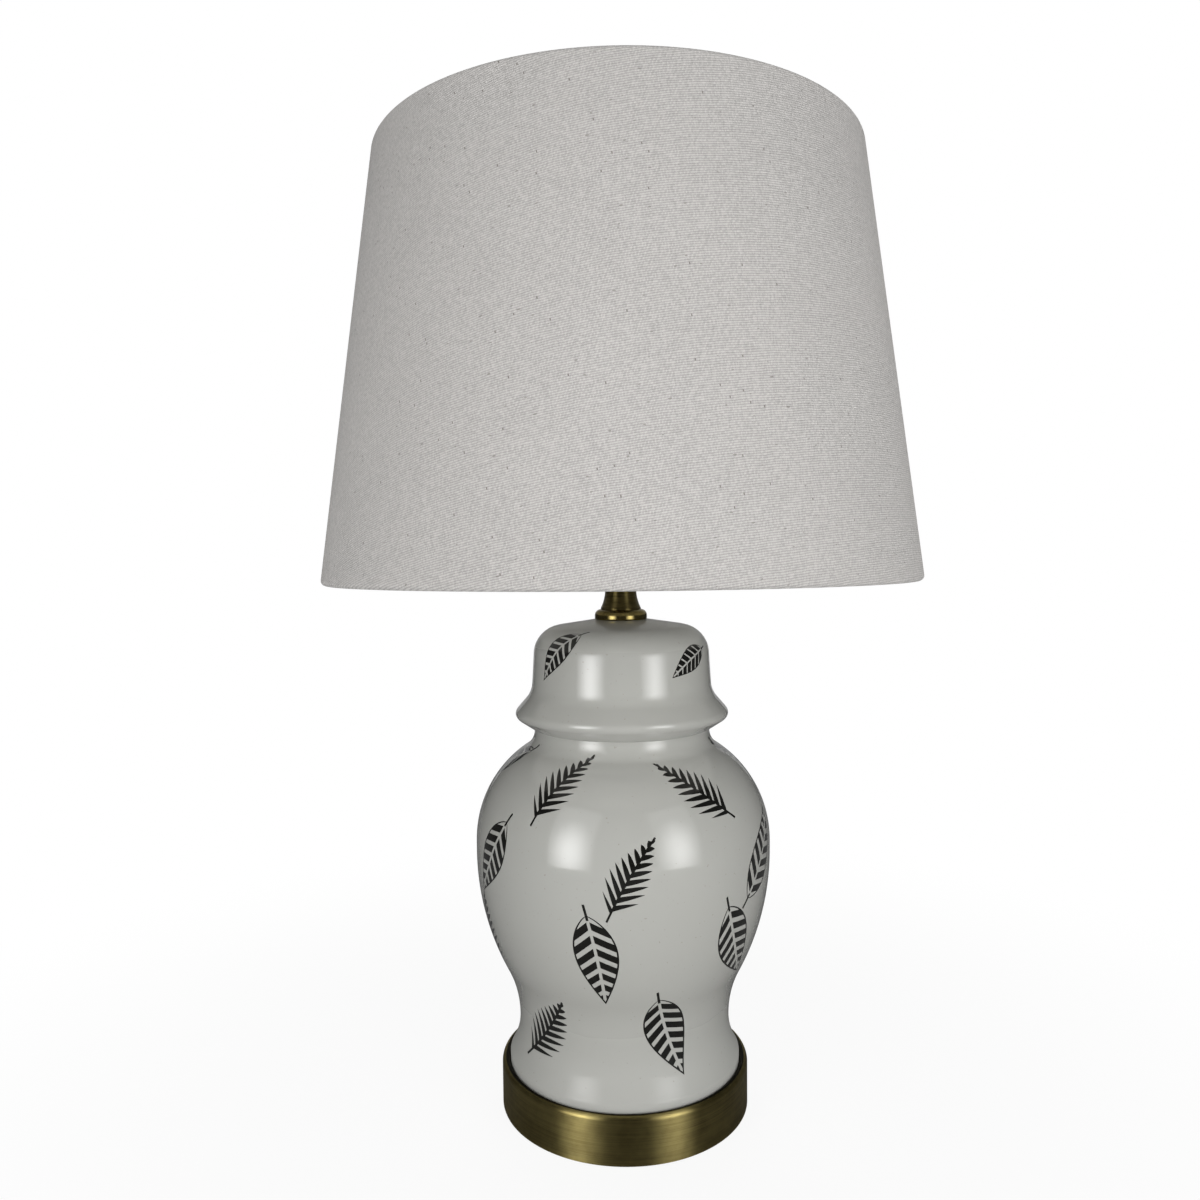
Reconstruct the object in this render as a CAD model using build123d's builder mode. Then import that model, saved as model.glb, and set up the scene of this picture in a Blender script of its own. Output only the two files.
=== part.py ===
from build123d import *
from math import sqrt
import os

os.makedirs("parts", exist_ok=True)

# Ceramic table lamp: a covered jar on a brass plinth, with a harp and a drum shade.
# Sizes in millimetres. Z is up, the lamp stands on z = 0, and its axis is the Z axis.
# The front of the lamp faces -Y, and the harp stands in the XZ plane.

# Clearances
slip_gap = 0.2
running_gap = 0.3
shaft_gap = 0.05
pipe_gap = 0.25

# Base
felt_inset = 3.0
felt_thickness = 1.5
board_thickness = 3.0
plinth_height = 28.0
plinth_wall = 1.2
rim_shoulder_bend = 1.8
rim_lip_bend = 0.4
rim_depth = 6.0
bushing_height = 11.0
bushing_bore = 3.6
bushing_wall = 1.8
bushing_flange = 1.6
bushing_flange_thickness = 1.6
bushing_snap = 0.8
bushing_snap_length = 2.0

# Lamp pipe, the hollow threaded rod that clamps the stack together
pipe_radius = 5.0
pipe_bore = 3.5
pipe_tail = 3.0
nut_flats = 15.0
nut_thickness = 4.0
washer_radius = 19.0
washer_thickness = 1.6
gasket_thickness = 1.0
gasket_inset = 1.0

# Jar body, heights above its foot
jar_wall = 5.5
jar_floor = 6.0
jar_hole_gap = 1.5
jar_foot_radius = 71.4
jar_foot_gap = 0.5
jar_foot_band = 8.5
jar_foot_ring = 12.0
jar_foot_recess = 2.5
waist_radius = 65.1
waist_height = 31.0
waist_share = 0.3265
belly_radius = 90.5
belly_height = 136.0
belly_band = 6.0
shoulder_share = 0.846
neck_radius = 54.0
neck_height = 208.5
mouth_lip = 1.7

# Jar lid, heights above its seat on the mouth
lid_wall = 5.0
lid_plug_depth = 8.0
lid_plug_wall = 4.0
lid_seat_radius = 55.0
lid_flange_radius = 67.4
lid_flange_height = 8.2
lid_flange_round = 4.0
lid_foot_radius = 55.4
lid_foot_height = 22.2
lid_foot_round = 14.0
lid_shoulder_radius = 53.2
lid_shoulder_height = 60.4
lid_shoulder_round = 17.0
lid_top_radius = 17.5
lid_height = 66.0

# Brass neck
bead_radius = 16.1
bead_height = 6.2
bead_round = 2.7
spindle_foot_radius = 12.4
spindle_foot_lip = 0.9
spindle_radius = 9.6
spindle_flare_height = 12.5
spindle_height = 24.0
spindle_collar = 0.9
spindle_collar_height = 3.0

# Socket, heights above its underside
cap_hub_radius = 8.0
cap_hub_height = 3.0
cap_radius = 17.6
cap_height = 18.0
cap_wall = 1.0
pipe_in_cap = 7.0
shell_wall = 0.7
shell_height = 42.0
shell_bead = 0.7
insulator_wall = 0.8
insulator_overhang = 1.0
core_lift = 2.0
core_height = 18.0
terminal_flat = 10.2
terminal_height = 9.0
terminal_screw_height = 4.5
terminal_head_radius = 3.0
terminal_head_thickness = 1.8
terminal_shank_radius = 1.6
terminal_shank_length = 5.0
screw_shell_height = 23.0
screw_shell_wall = 0.5
contact_hole_radius = 7.0
contact_radius = 4.0
contact_thickness = 1.2

# Rotary switch in the socket, on an axis that points to the front
switch_height = 24.0
switch_shaft_radius = 2.2
switch_collar_wall = 1.6
switch_collar_reach = 3.5
switch_shaft_reach = 17.0
knob_radius = 6.2
knob_length = 13.0
knob_socket_depth = 9.0
knob_flutes = 10
knob_flute_radius = 1.5
knob_taper = 3.0

# Bulb, from its contact upwards
bulb_contact_radius = 4.6
bulb_contact_height = 1.6
bulb_insulator_height = 3.0
bulb_cap_radius = 13.1
bulb_cap_height = 22.0
bulb_cap_wall = 0.5
bulb_collar_radius = 14.5
bulb_housing_height = 31.0
bulb_housing_wall = 1.5
bulb_seam_radius = 28.4
bulb_globe_radius = 30.0
bulb_globe_rise = 15.0
bulb_globe_wall = 1.2

# Harp and its saddle
saddle_width = 9.5
saddle_thickness = 1.5
saddle_bend = 3.0
saddle_eye_wall = 6.0
saddle_height = 12.5
tongue_length = 8.0
tongue_width = 3.6
leg_offset = 35.0
wire_radius = 1.7
harp_half_width = 57.0
harp_top_flat = 12.0
harp_height = 203.0
leg_straight = 32.0
harp_boss_radius = 6.5
harp_boss_height = 6.0
ferrule_wall = 1.1
ferrule_length = 16.0
ferrule_roll = 0.5

# Swivel stud in the top of the harp
stud_radius = 3.0
stud_length = 12.0
stud_shoulder_radius = 9.5
stud_shoulder_thickness = 2.0
stud_pin_radius = 2.6
stud_rivet_radius = 4.2
stud_rivet_thickness = 1.6

# Shade
shade_bottom_radius = 178.3
shade_top_radius = 144.8
shade_height = 249.8
shade_recess = 18.4
fabric_thickness = 0.8
lining_thickness = 0.5
lining_gap = 0.1
ring_wire_radius = 1.9
hub_thickness = 1.6
hub_gap = 0.2
spider_arms = 3
spider_arm_radius = 1.7
spider_weld = 4.0
spider_arm_rise_run = 26.0
spider_arm_bend = 9.0

# Finial, a turned knob that screws on the stud
finial_foot_radius = 9.0
finial_foot_thickness = 2.4
finial_stem_radius = 5.6
finial_stem_height = 7.0
finial_ball_radius = 8.5
finial_tip_radius = 3.0
finial_tip_height = 3.5

# Heights of the stack, from the table upwards
plinth_bottom = felt_thickness
plinth_top = plinth_bottom + plinth_height
seat_top = plinth_top - rim_depth
jar_bottom = seat_top + gasket_thickness
mouth_top = jar_bottom + neck_height + mouth_lip
lid_top = mouth_top + lid_height
spindle_bottom = lid_top + bead_height
spindle_top = spindle_bottom + spindle_height
saddle_bottom = spindle_top + nut_thickness
socket_bottom = saddle_bottom + saddle_thickness
pipe_top = socket_bottom + pipe_in_cap
washer_bottom = seat_top - plinth_wall - washer_thickness
nut_bottom = washer_bottom - nut_thickness
pipe_bottom = nut_bottom - pipe_tail

# Radii that follow from the pieces they fit
rim_inner = jar_foot_radius + jar_foot_gap
shoulder_outer = rim_shoulder_bend + plinth_wall
lip_outer = rim_lip_bend + plinth_wall
plinth_radius = rim_inner + lip_outer + shoulder_outer
felt_radius = plinth_radius - felt_inset
pipe_hole = pipe_radius + pipe_gap
mouth_radius = neck_radius - jar_wall

# Heights inside the socket
bowl_radius = cap_radius - cap_hub_radius
bowl_top = socket_bottom + cap_hub_height + bowl_radius
shell_bottom = bowl_top + slip_gap
shell_top = shell_bottom + shell_height
shell_radius = cap_radius - cap_wall - slip_gap
insulator_radius = shell_radius - shell_wall - slip_gap
core_radius = insulator_radius - insulator_wall - slip_gap
core_bottom = shell_bottom + core_lift
core_top = core_bottom + core_height
switch_z = socket_bottom + switch_height
switch_collar_radius = switch_shaft_radius + shaft_gap + switch_collar_wall
contact_top = core_top + contact_thickness
bulb_bottom = contact_top + running_gap
bulb_cap_bottom = bulb_bottom + bulb_contact_height + bulb_insulator_height
bulb_cap_top = bulb_cap_bottom + bulb_cap_height
bulb_seam = bulb_cap_top + bulb_housing_height
screw_shell_radius = bulb_cap_radius + running_gap + screw_shell_wall

# Heights of the harp and of the shade that it carries
tongue_top = saddle_bottom + saddle_height
tongue_bottom = tongue_top - tongue_length
leg_bottom = tongue_top + running_gap
harp_top = leg_bottom + harp_height
boss_top = harp_top + harp_boss_height / 2
boss_bottom = harp_top - harp_boss_height / 2
stud_bottom = boss_top + running_gap
stud_seat = stud_bottom + stud_shoulder_thickness
hub_bottom = stud_seat + hub_gap
hub_top = hub_bottom + hub_thickness
stud_top = stud_seat + stud_length
shade_top = hub_bottom + shade_recess
shade_bottom = shade_top - shade_height
finial_bottom = hub_top + hub_gap


def curve_radius(run, rise, share):
    """Radius of the first arc of an S whose arcs meet at this share of its chord."""
    return share * (run**2 + rise**2) / (2 * abs(run))


def s_curve(start, end, first_radius):
    """Join two points by two arcs that leave and arrive upright and meet on the chord."""
    run = end[0] - start[0]
    rise = end[1] - start[1]
    share = first_radius * 2 * abs(run) / (run**2 + rise**2)
    middle = (start[0] + share * run, start[1] + share * rise)
    TangentArc(start, middle, tangent=(0, 1))
    TangentArc(end, middle, tangent=(0, -1))


def finish(builder, name):
    """Label a finished piece and write it to its own file."""
    builder.part.label = name
    export_step(builder.part, f"parts/{name}.step")


# Felt pad under the base
with BuildPart() as base_felt:
    with BuildSketch(Plane.XY):
        Circle(felt_radius)
    extrude(amount=felt_thickness)
finish(base_felt, "base_felt")

# Fibreboard disc that closes the hollow plinth
with BuildPart() as base_board:
    with BuildSketch(Plane.XY.offset(plinth_bottom)):
        Circle(plinth_radius - plinth_wall - slip_gap)
    extrude(amount=board_thickness)
finish(base_board, "base_board")

# Spun brass plinth with a rolled rim and a sunk seat for the jar
bushing_hole = bushing_bore + bushing_wall + slip_gap / 2
bushing_plane = Plane(
    origin=(0, plinth_radius, plinth_bottom + bushing_height),
    x_dir=(1, 0, 0),
    z_dir=(0, 1, 0),
)
with BuildPart() as base_plinth:
    with BuildSketch(Plane.XZ):
        with BuildLine():
            Polyline(
                (plinth_radius - plinth_wall, plinth_top - shoulder_outer),
                (plinth_radius - plinth_wall, plinth_bottom),
                (plinth_radius, plinth_bottom),
                (plinth_radius, plinth_top - shoulder_outer),
            )
            TangentArc(
                (plinth_radius, plinth_top - shoulder_outer),
                (plinth_radius - shoulder_outer, plinth_top),
                tangent=(0, 1),
            )
            TangentArc(
                (plinth_radius - shoulder_outer, plinth_top),
                (rim_inner, plinth_top - lip_outer),
                tangent=(-1, 0),
            )
            Polyline(
                (rim_inner, plinth_top - lip_outer),
                (rim_inner, seat_top),
                (pipe_hole, seat_top),
                (pipe_hole, seat_top - plinth_wall),
                (rim_inner + plinth_wall, seat_top - plinth_wall),
                (rim_inner + plinth_wall, plinth_top - lip_outer),
            )
            TangentArc(
                (rim_inner + plinth_wall, plinth_top - lip_outer),
                (plinth_radius - shoulder_outer, plinth_top - plinth_wall),
                tangent=(0, 1),
            )
            TangentArc(
                (plinth_radius - shoulder_outer, plinth_top - plinth_wall),
                (plinth_radius - plinth_wall, plinth_top - shoulder_outer),
                tangent=(1, 0),
            )
        make_face()
    revolve(axis=Axis.Z)
    with BuildSketch(bushing_plane):
        Circle(bushing_hole)
    extrude(amount=-plinth_radius / 2, mode=Mode.SUBTRACT)
finish(base_plinth, "base_plinth")

# Cord bushing in the rear wall, flanged outside and snapped in behind the curved wall
bushing_outer = bushing_bore + bushing_wall
snap_radius = bushing_outer + bushing_snap
wall_inside = sqrt((plinth_radius - plinth_wall) ** 2 - snap_radius**2)
snap_start = plinth_radius - wall_inside + slip_gap / 2
with BuildPart() as cord_bushing:
    with BuildSketch(bushing_plane):
        Circle(bushing_outer + bushing_flange)
    extrude(amount=bushing_flange_thickness)
    with BuildSketch(bushing_plane):
        Circle(bushing_outer)
    extrude(amount=-snap_start)
    with BuildSketch(bushing_plane.offset(-snap_start)):
        Circle(snap_radius)
    extrude(amount=-bushing_snap_length, taper=20)
    outer_edge = cord_bushing.edges().filter_by(GeomType.CIRCLE).sort_by(Axis.Y)[-1]
    fillet(outer_edge, radius=bushing_flange_thickness / 2)
    with BuildSketch(bushing_plane.offset(bushing_flange_thickness)):
        Circle(bushing_bore)
    extrude(amount=-(bushing_flange_thickness + snap_start + bushing_snap_length), mode=Mode.SUBTRACT)
finish(cord_bushing, "cord_bushing")

# Steel washer and nut that draw the pipe down under the seat
with BuildPart() as base_washer:
    with BuildSketch(Plane.XY.offset(washer_bottom)):
        Circle(washer_radius)
        Circle(pipe_hole, mode=Mode.SUBTRACT)
    extrude(amount=washer_thickness)
finish(base_washer, "base_washer")

with BuildPart() as base_nut:
    with BuildSketch(Plane.XY.offset(nut_bottom)):
        RegularPolygon(nut_flats / 2, 6, major_radius=False)
        Circle(pipe_radius + shaft_gap, mode=Mode.SUBTRACT)
    extrude(amount=nut_thickness)
finish(base_nut, "base_nut")

# Hollow pipe from the base to the socket
with BuildPart() as lamp_pipe:
    with BuildSketch(Plane.XY.offset(pipe_bottom)):
        Circle(pipe_radius)
        Circle(pipe_bore, mode=Mode.SUBTRACT)
    extrude(amount=pipe_top - pipe_bottom)
finish(lamp_pipe, "lamp_pipe")

# Rubber ring between the jar and the plinth
with BuildPart() as jar_gasket:
    with BuildSketch(Plane.XY.offset(seat_top)):
        Circle(jar_foot_radius - gasket_inset)
        Circle(jar_foot_radius - jar_foot_ring, mode=Mode.SUBTRACT)
    extrude(amount=gasket_thickness)
finish(jar_gasket, "jar_gasket")


belly_run = belly_radius - waist_radius
belly_rise = belly_height - waist_height
waist_curve = curve_radius(belly_run, belly_rise, waist_share)
shoulder_run = belly_radius - neck_radius
shoulder_rise = neck_height - belly_height - belly_band
shoulder_curve = curve_radius(shoulder_run, shoulder_rise, shoulder_share)


def jar_side(inset):
    """The jar's outline from foot to mouth, moved in by the wall where inset is not zero."""
    foot_top = (jar_foot_radius - inset, jar_bottom + jar_foot_band)
    waist = (waist_radius - inset, jar_bottom + waist_height)
    belly = (belly_radius - inset, jar_bottom + belly_height)
    shoulder = (belly_radius - inset, jar_bottom + belly_height + belly_band)
    neck = (neck_radius - inset, jar_bottom + neck_height)
    Line((jar_foot_radius - inset, jar_bottom), foot_top)
    TangentArc(waist, foot_top, tangent=(0, -1))
    s_curve(waist, belly, waist_curve + inset)
    Line(belly, shoulder)
    s_curve(shoulder, neck, shoulder_curve - inset)
    Polyline(neck, (neck_radius - inset, mouth_top), (0, mouth_top))
    Polyline((0, mouth_top), (0, jar_bottom), (jar_foot_radius - inset, jar_bottom))


# Jar body, one even wall that follows the waist, the belly and the shoulder
with BuildPart() as jar_body:
    with BuildSketch(Plane.XZ):
        with BuildLine():
            jar_side(0)
        make_face()
    revolve(axis=Axis.Z)
    with BuildSketch(Plane.XZ):
        with BuildLine():
            jar_side(jar_wall)
        make_face()
        with Locations((0, jar_bottom)):
            Rectangle(
                2 * belly_radius,
                jar_foot_recess + jar_floor,
                align=(Align.CENTER, Align.MIN),
                mode=Mode.SUBTRACT,
            )
    revolve(axis=Axis.Z, mode=Mode.SUBTRACT)
    with BuildSketch(Plane.XY.offset(jar_bottom)):
        Circle(jar_foot_radius - jar_foot_ring)
    extrude(amount=jar_foot_recess, mode=Mode.SUBTRACT)
    with BuildSketch(Plane.XY.offset(jar_bottom)):
        Circle(pipe_radius + jar_hole_gap)
    extrude(amount=jar_foot_recess + jar_floor, mode=Mode.SUBTRACT)
finish(jar_body, "jar_body")

# Jar lid with its flange, its hollow dome and the plug that centres it in the mouth
plug_radius = mouth_radius - jar_foot_gap
dome_radius = lid_shoulder_radius - lid_wall
dome_top = lid_shoulder_height - lid_wall
with BuildPart() as jar_lid:
    with BuildSketch(Plane.XZ):
        with BuildLine():
            FilletPolyline(
                (lid_seat_radius, mouth_top),
                (lid_flange_radius, mouth_top + lid_flange_height),
                (lid_foot_radius, mouth_top + lid_foot_height),
                (lid_shoulder_radius, mouth_top + lid_shoulder_height),
                (lid_top_radius, lid_top),
                radius=[lid_flange_round, lid_foot_round, lid_shoulder_round],
            )
            Polyline(
                (lid_top_radius, lid_top),
                (0, lid_top),
                (0, mouth_top),
                (lid_seat_radius, mouth_top),
            )
        make_face()
    revolve(axis=Axis.Z)
    with BuildSketch(Plane.XY.offset(mouth_top - lid_plug_depth)):
        Circle(plug_radius)
    extrude(amount=lid_plug_depth)
    with BuildSketch(Plane.XZ):
        with BuildLine():
            FilletPolyline(
                (0, mouth_top - lid_plug_depth),
                (plug_radius - lid_plug_wall, mouth_top - lid_plug_depth),
                (dome_radius, mouth_top + lid_foot_height),
                (dome_radius, mouth_top + dome_top),
                (lid_top_radius, lid_top - lid_wall),
                (0, lid_top - lid_wall),
                radius=[0, lid_foot_round, lid_shoulder_round - lid_wall, 0],
            )
            Line((0, lid_top - lid_wall), (0, mouth_top - lid_plug_depth))
        make_face()
    revolve(axis=Axis.Z, mode=Mode.SUBTRACT)
    with BuildSketch(Plane.XY.offset(lid_top)):
        Circle(pipe_hole)
    extrude(amount=-lid_wall, mode=Mode.SUBTRACT)
finish(jar_lid, "jar_lid")

# Brass bead on top of the lid
with BuildPart() as neck_bead:
    with BuildSketch(Plane.XY.offset(lid_top)):
        Circle(bead_radius)
        Circle(pipe_hole, mode=Mode.SUBTRACT)
    extrude(amount=bead_height)
    rims = neck_bead.edges().filter_by(GeomType.CIRCLE).group_by(SortBy.RADIUS)[-1]
    fillet(rims, radius=min(bead_round, 0.45 * bead_height))
finish(neck_bead, "neck_bead")

# Turned brass spindle with a flared foot
with BuildPart() as neck_spindle:
    with BuildSketch(Plane.XZ):
        with BuildLine():
            Polyline(
                (spindle_foot_radius, spindle_bottom + spindle_foot_lip),
                (spindle_foot_radius, spindle_bottom),
                (pipe_hole, spindle_bottom),
                (pipe_hole, spindle_top),
                (spindle_radius + spindle_collar, spindle_top),
                (spindle_radius + spindle_collar, spindle_top - spindle_collar_height),
                (spindle_radius, spindle_top - spindle_collar_height),
                (spindle_radius, spindle_bottom + spindle_flare_height),
            )
            TangentArc(
                (spindle_radius, spindle_bottom + spindle_flare_height),
                (spindle_foot_radius, spindle_bottom + spindle_foot_lip),
                tangent=(0, -1),
            )
        make_face()
    revolve(axis=Axis.Z)
finish(neck_spindle, "neck_spindle")

# Nut that locks the neck under the saddle
with BuildPart() as neck_nut:
    with BuildSketch(Plane.XY.offset(spindle_top)):
        RegularPolygon(nut_flats / 2, 6, major_radius=False)
        Circle(pipe_radius + shaft_gap, mode=Mode.SUBTRACT)
    extrude(amount=nut_thickness)
finish(neck_nut, "neck_nut")

# Bent steel saddle whose tongues carry the harp
saddle_outer = leg_offset + saddle_thickness / 2
saddle_inner = leg_offset - saddle_thickness / 2
bend_outside = saddle_bend + saddle_thickness
with BuildPart() as harp_saddle:
    with BuildSketch(Plane.XZ):
        with BuildLine():
            FilletPolyline(
                (-saddle_outer, tongue_top),
                (-saddle_outer, saddle_bottom),
                (saddle_outer, saddle_bottom),
                (saddle_outer, tongue_top),
                (saddle_inner, tongue_top),
                (saddle_inner, socket_bottom),
                (-saddle_inner, socket_bottom),
                (-saddle_inner, tongue_top),
                radius=[0, bend_outside, bend_outside, 0, 0, saddle_bend, saddle_bend, 0],
                close=True,
            )
        make_face()
    extrude(amount=saddle_width / 2, both=True)
    with BuildSketch(Plane.YZ):
        with Locations((0, saddle_bottom)):
            Rectangle(saddle_width, tongue_bottom - saddle_bottom, align=(Align.CENTER, Align.MIN))
            Rectangle(tongue_width, saddle_height, align=(Align.CENTER, Align.MIN))
    extrude(amount=2 * leg_offset, both=True, mode=Mode.INTERSECT)
    with BuildSketch(Plane.XY.offset(saddle_bottom)):
        Circle(pipe_hole + saddle_eye_wall)
    extrude(amount=saddle_thickness)
    with BuildSketch(Plane.XY.offset(saddle_bottom)):
        Circle(pipe_hole)
    extrude(amount=saddle_thickness, mode=Mode.SUBTRACT)
finish(harp_saddle, "harp_saddle")

# Socket cap, a drawn brass cup screwed on the pipe
with BuildPart() as socket_cap:
    with BuildSketch(Plane.XZ):
        with BuildLine():
            Polyline(
                (cap_hub_radius, socket_bottom + cap_hub_height),
                (cap_hub_radius, socket_bottom),
                (pipe_radius + shaft_gap, socket_bottom),
                (pipe_radius + shaft_gap, socket_bottom + cap_hub_height + cap_wall),
                (cap_hub_radius, socket_bottom + cap_hub_height + cap_wall),
            )
            TangentArc(
                (cap_hub_radius, socket_bottom + cap_hub_height + cap_wall),
                (cap_radius - cap_wall, bowl_top),
                tangent=(1, 0),
            )
            Polyline(
                (cap_radius - cap_wall, bowl_top),
                (cap_radius - cap_wall, socket_bottom + cap_height),
                (cap_radius, socket_bottom + cap_height),
                (cap_radius, bowl_top),
            )
            TangentArc(
                (cap_hub_radius, socket_bottom + cap_hub_height),
                (cap_radius, bowl_top),
                tangent=(1, 0),
            )
        make_face()
    revolve(axis=Axis.Z)
finish(socket_cap, "socket_cap")

switch_plane = Plane(origin=(0, 0, switch_z), x_dir=(1, 0, 0), z_dir=(0, -1, 0))
collar_hole = switch_collar_radius + slip_gap

# Socket shell with a beaded mouth and the hole for the switch collar
with BuildPart() as socket_shell:
    with BuildSketch(Plane.XY.offset(shell_bottom)):
        Circle(shell_radius)
    extrude(amount=shell_height)
    with BuildSketch(Plane.XZ):
        with Locations((shell_radius - shell_bead, shell_top - 2 * shell_bead)):
            Circle(2 * shell_bead)
    revolve(axis=Axis.Z)
    with BuildSketch(Plane.XY.offset(shell_bottom)):
        Circle(shell_radius - shell_wall)
    extrude(amount=shell_height, mode=Mode.SUBTRACT)
    with BuildSketch(switch_plane):
        Circle(collar_hole)
    extrude(amount=cap_radius, mode=Mode.SUBTRACT)
finish(socket_shell, "socket_shell")

# Fibre tube that lines the shell
with BuildPart() as socket_insulator:
    with BuildSketch(Plane.XY.offset(shell_bottom)):
        Circle(insulator_radius)
        Circle(insulator_radius - insulator_wall, mode=Mode.SUBTRACT)
    extrude(amount=shell_height + insulator_overhang)
    with BuildSketch(switch_plane):
        Circle(collar_hole)
    extrude(amount=cap_radius, mode=Mode.SUBTRACT)
finish(socket_insulator, "socket_insulator")

# Moulded core with flats for the terminals and a bore for the switch
terminal_z = core_bottom + terminal_screw_height
with BuildPart() as socket_core:
    with BuildSketch(Plane.XY.offset(core_bottom)):
        Circle(core_radius)
    extrude(amount=core_height)
    with BuildSketch(Plane.XY.offset(core_bottom)):
        Circle(core_radius)
        Rectangle(2 * terminal_flat, 2 * core_radius, mode=Mode.SUBTRACT)
    extrude(amount=terminal_height, mode=Mode.SUBTRACT)
    with BuildSketch(Plane.YZ):
        with Locations((0, terminal_z)):
            Circle(terminal_shank_radius + shaft_gap)
    extrude(amount=core_radius, both=True, mode=Mode.SUBTRACT)
    with BuildSketch(switch_plane):
        Circle(switch_collar_radius + slip_gap)
    extrude(amount=core_radius, mode=Mode.SUBTRACT)
finish(socket_core, "socket_core")

# Two terminal screws, one on each flat
with BuildPart() as terminal_screws:
    with BuildSketch(Plane.YZ.offset(terminal_flat)):
        with Locations((0, terminal_z)):
            Circle(terminal_head_radius)
    extrude(amount=terminal_head_thickness)
    with BuildSketch(Plane.YZ.offset(terminal_flat)):
        with Locations((0, terminal_z)):
            Circle(terminal_shank_radius)
    extrude(amount=-terminal_shank_length)
    mirror(about=Plane.YZ)
finish(terminal_screws, "terminal_screws")

# Screw shell that takes the bulb
with BuildPart() as screw_shell:
    with BuildSketch(Plane.XY.offset(core_top)):
        Circle(screw_shell_radius)
    extrude(amount=screw_shell_height)
    with BuildSketch(Plane.XY.offset(core_top + screw_shell_wall)):
        Circle(screw_shell_radius - screw_shell_wall)
    extrude(amount=screw_shell_height, mode=Mode.SUBTRACT)
    with BuildSketch(Plane.XY.offset(core_top)):
        Circle(contact_hole_radius)
    extrude(amount=screw_shell_wall, mode=Mode.SUBTRACT)
finish(screw_shell, "screw_shell")

# Contact in the middle of the core
with BuildPart() as centre_contact:
    with BuildSketch(Plane.XY.offset(core_top)):
        Circle(contact_radius)
    extrude(amount=contact_thickness)
    fillet(centre_contact.edges().sort_by(Axis.Z)[-1], radius=contact_thickness / 2)
finish(centre_contact, "centre_contact")

# Threaded collar that holds the switch in the shell
collar_length = shell_radius + switch_collar_reach
with BuildPart() as switch_collar:
    with BuildSketch(switch_plane):
        Circle(switch_collar_radius)
        Circle(switch_shaft_radius + shaft_gap, mode=Mode.SUBTRACT)
    extrude(amount=collar_length)
finish(switch_collar, "switch_collar")

# Switch shaft
with BuildPart() as switch_shaft:
    with BuildSketch(switch_plane):
        Circle(switch_shaft_radius)
    extrude(amount=collar_length + switch_shaft_reach)
finish(switch_shaft, "switch_shaft")

# Fluted knob on the end of the shaft
knob_start = collar_length + switch_shaft_reach - knob_socket_depth
with BuildPart() as switch_knob:
    with BuildSketch(switch_plane.offset(knob_start)):
        Circle(knob_radius)
        with PolarLocations(knob_radius + knob_flute_radius / 2, knob_flutes):
            Circle(knob_flute_radius, mode=Mode.SUBTRACT)
    extrude(amount=knob_length, taper=knob_taper)
    with BuildSketch(switch_plane.offset(knob_start)):
        Circle(switch_shaft_radius + shaft_gap)
    extrude(amount=knob_socket_depth + shaft_gap, mode=Mode.SUBTRACT)
finish(switch_knob, "switch_knob")

# Bulb contact, insulator and screw cap
with BuildPart() as bulb_contact:
    with BuildSketch(Plane.XY.offset(bulb_bottom)):
        Circle(bulb_contact_radius)
    extrude(amount=bulb_contact_height)
    fillet(bulb_contact.edges().sort_by(Axis.Z)[0], radius=bulb_contact_height / 2)
finish(bulb_contact, "bulb_contact")

with BuildPart() as bulb_insulator:
    with BuildSketch(Plane.XZ):
        with BuildLine():
            Polyline(
                (0, bulb_cap_bottom),
                (0, bulb_bottom + bulb_contact_height),
                (bulb_contact_radius + bulb_cap_wall, bulb_bottom + bulb_contact_height),
                (bulb_cap_radius - 2 * bulb_cap_wall, bulb_cap_bottom),
                close=True,
            )
        make_face()
    revolve(axis=Axis.Z)
finish(bulb_insulator, "bulb_insulator")

with BuildPart() as bulb_cap:
    with BuildSketch(Plane.XY.offset(bulb_cap_bottom)):
        Circle(bulb_cap_radius)
    extrude(amount=bulb_cap_height)
    with BuildSketch(Plane.XY.offset(bulb_cap_bottom + bulb_cap_wall)):
        Circle(bulb_cap_radius - bulb_cap_wall)
    extrude(amount=bulb_cap_height, mode=Mode.SUBTRACT)
    fillet(bulb_cap.edges().sort_by(Axis.Z)[0], radius=2 * bulb_cap_wall)
finish(bulb_cap, "bulb_cap")


def bulb_housing_side(inset):
    """The housing's outline, closed on the axis."""
    foot = (bulb_collar_radius - inset, bulb_cap_top)
    seam = (bulb_seam_radius - inset, bulb_seam)
    TangentArc(foot, seam, tangent=(0, 1))
    Polyline(seam, (0, bulb_seam), (0, bulb_cap_top), foot)


def bulb_globe_side(inset):
    """The globe's outline: a bulged band from the seam, then a dome."""
    seam = (bulb_seam_radius - inset, bulb_seam)
    widest = (bulb_globe_radius - inset, bulb_seam + bulb_globe_rise)
    crown = (0, widest[1] + widest[0])
    TangentArc(widest, seam, tangent=(0, -1))
    TangentArc(widest, crown, tangent=(0, 1))
    Polyline(crown, (0, bulb_seam), seam)


# Bulb housing and globe, two thin shells that meet at the seam
with BuildPart() as bulb_housing:
    with BuildSketch(Plane.XZ):
        with BuildLine():
            bulb_housing_side(0)
        make_face()
    revolve(axis=Axis.Z)
    with BuildSketch(Plane.XZ):
        with BuildLine():
            bulb_housing_side(bulb_housing_wall)
        make_face()
    revolve(axis=Axis.Z, mode=Mode.SUBTRACT)
finish(bulb_housing, "bulb_housing")

with BuildPart() as bulb_globe:
    with BuildSketch(Plane.XZ):
        with BuildLine():
            bulb_globe_side(0)
        make_face()
    revolve(axis=Axis.Z)
    with BuildSketch(Plane.XZ):
        with BuildLine():
            bulb_globe_side(bulb_globe_wall)
        make_face()
    revolve(axis=Axis.Z, mode=Mode.SUBTRACT)
finish(bulb_globe, "bulb_globe")

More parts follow.
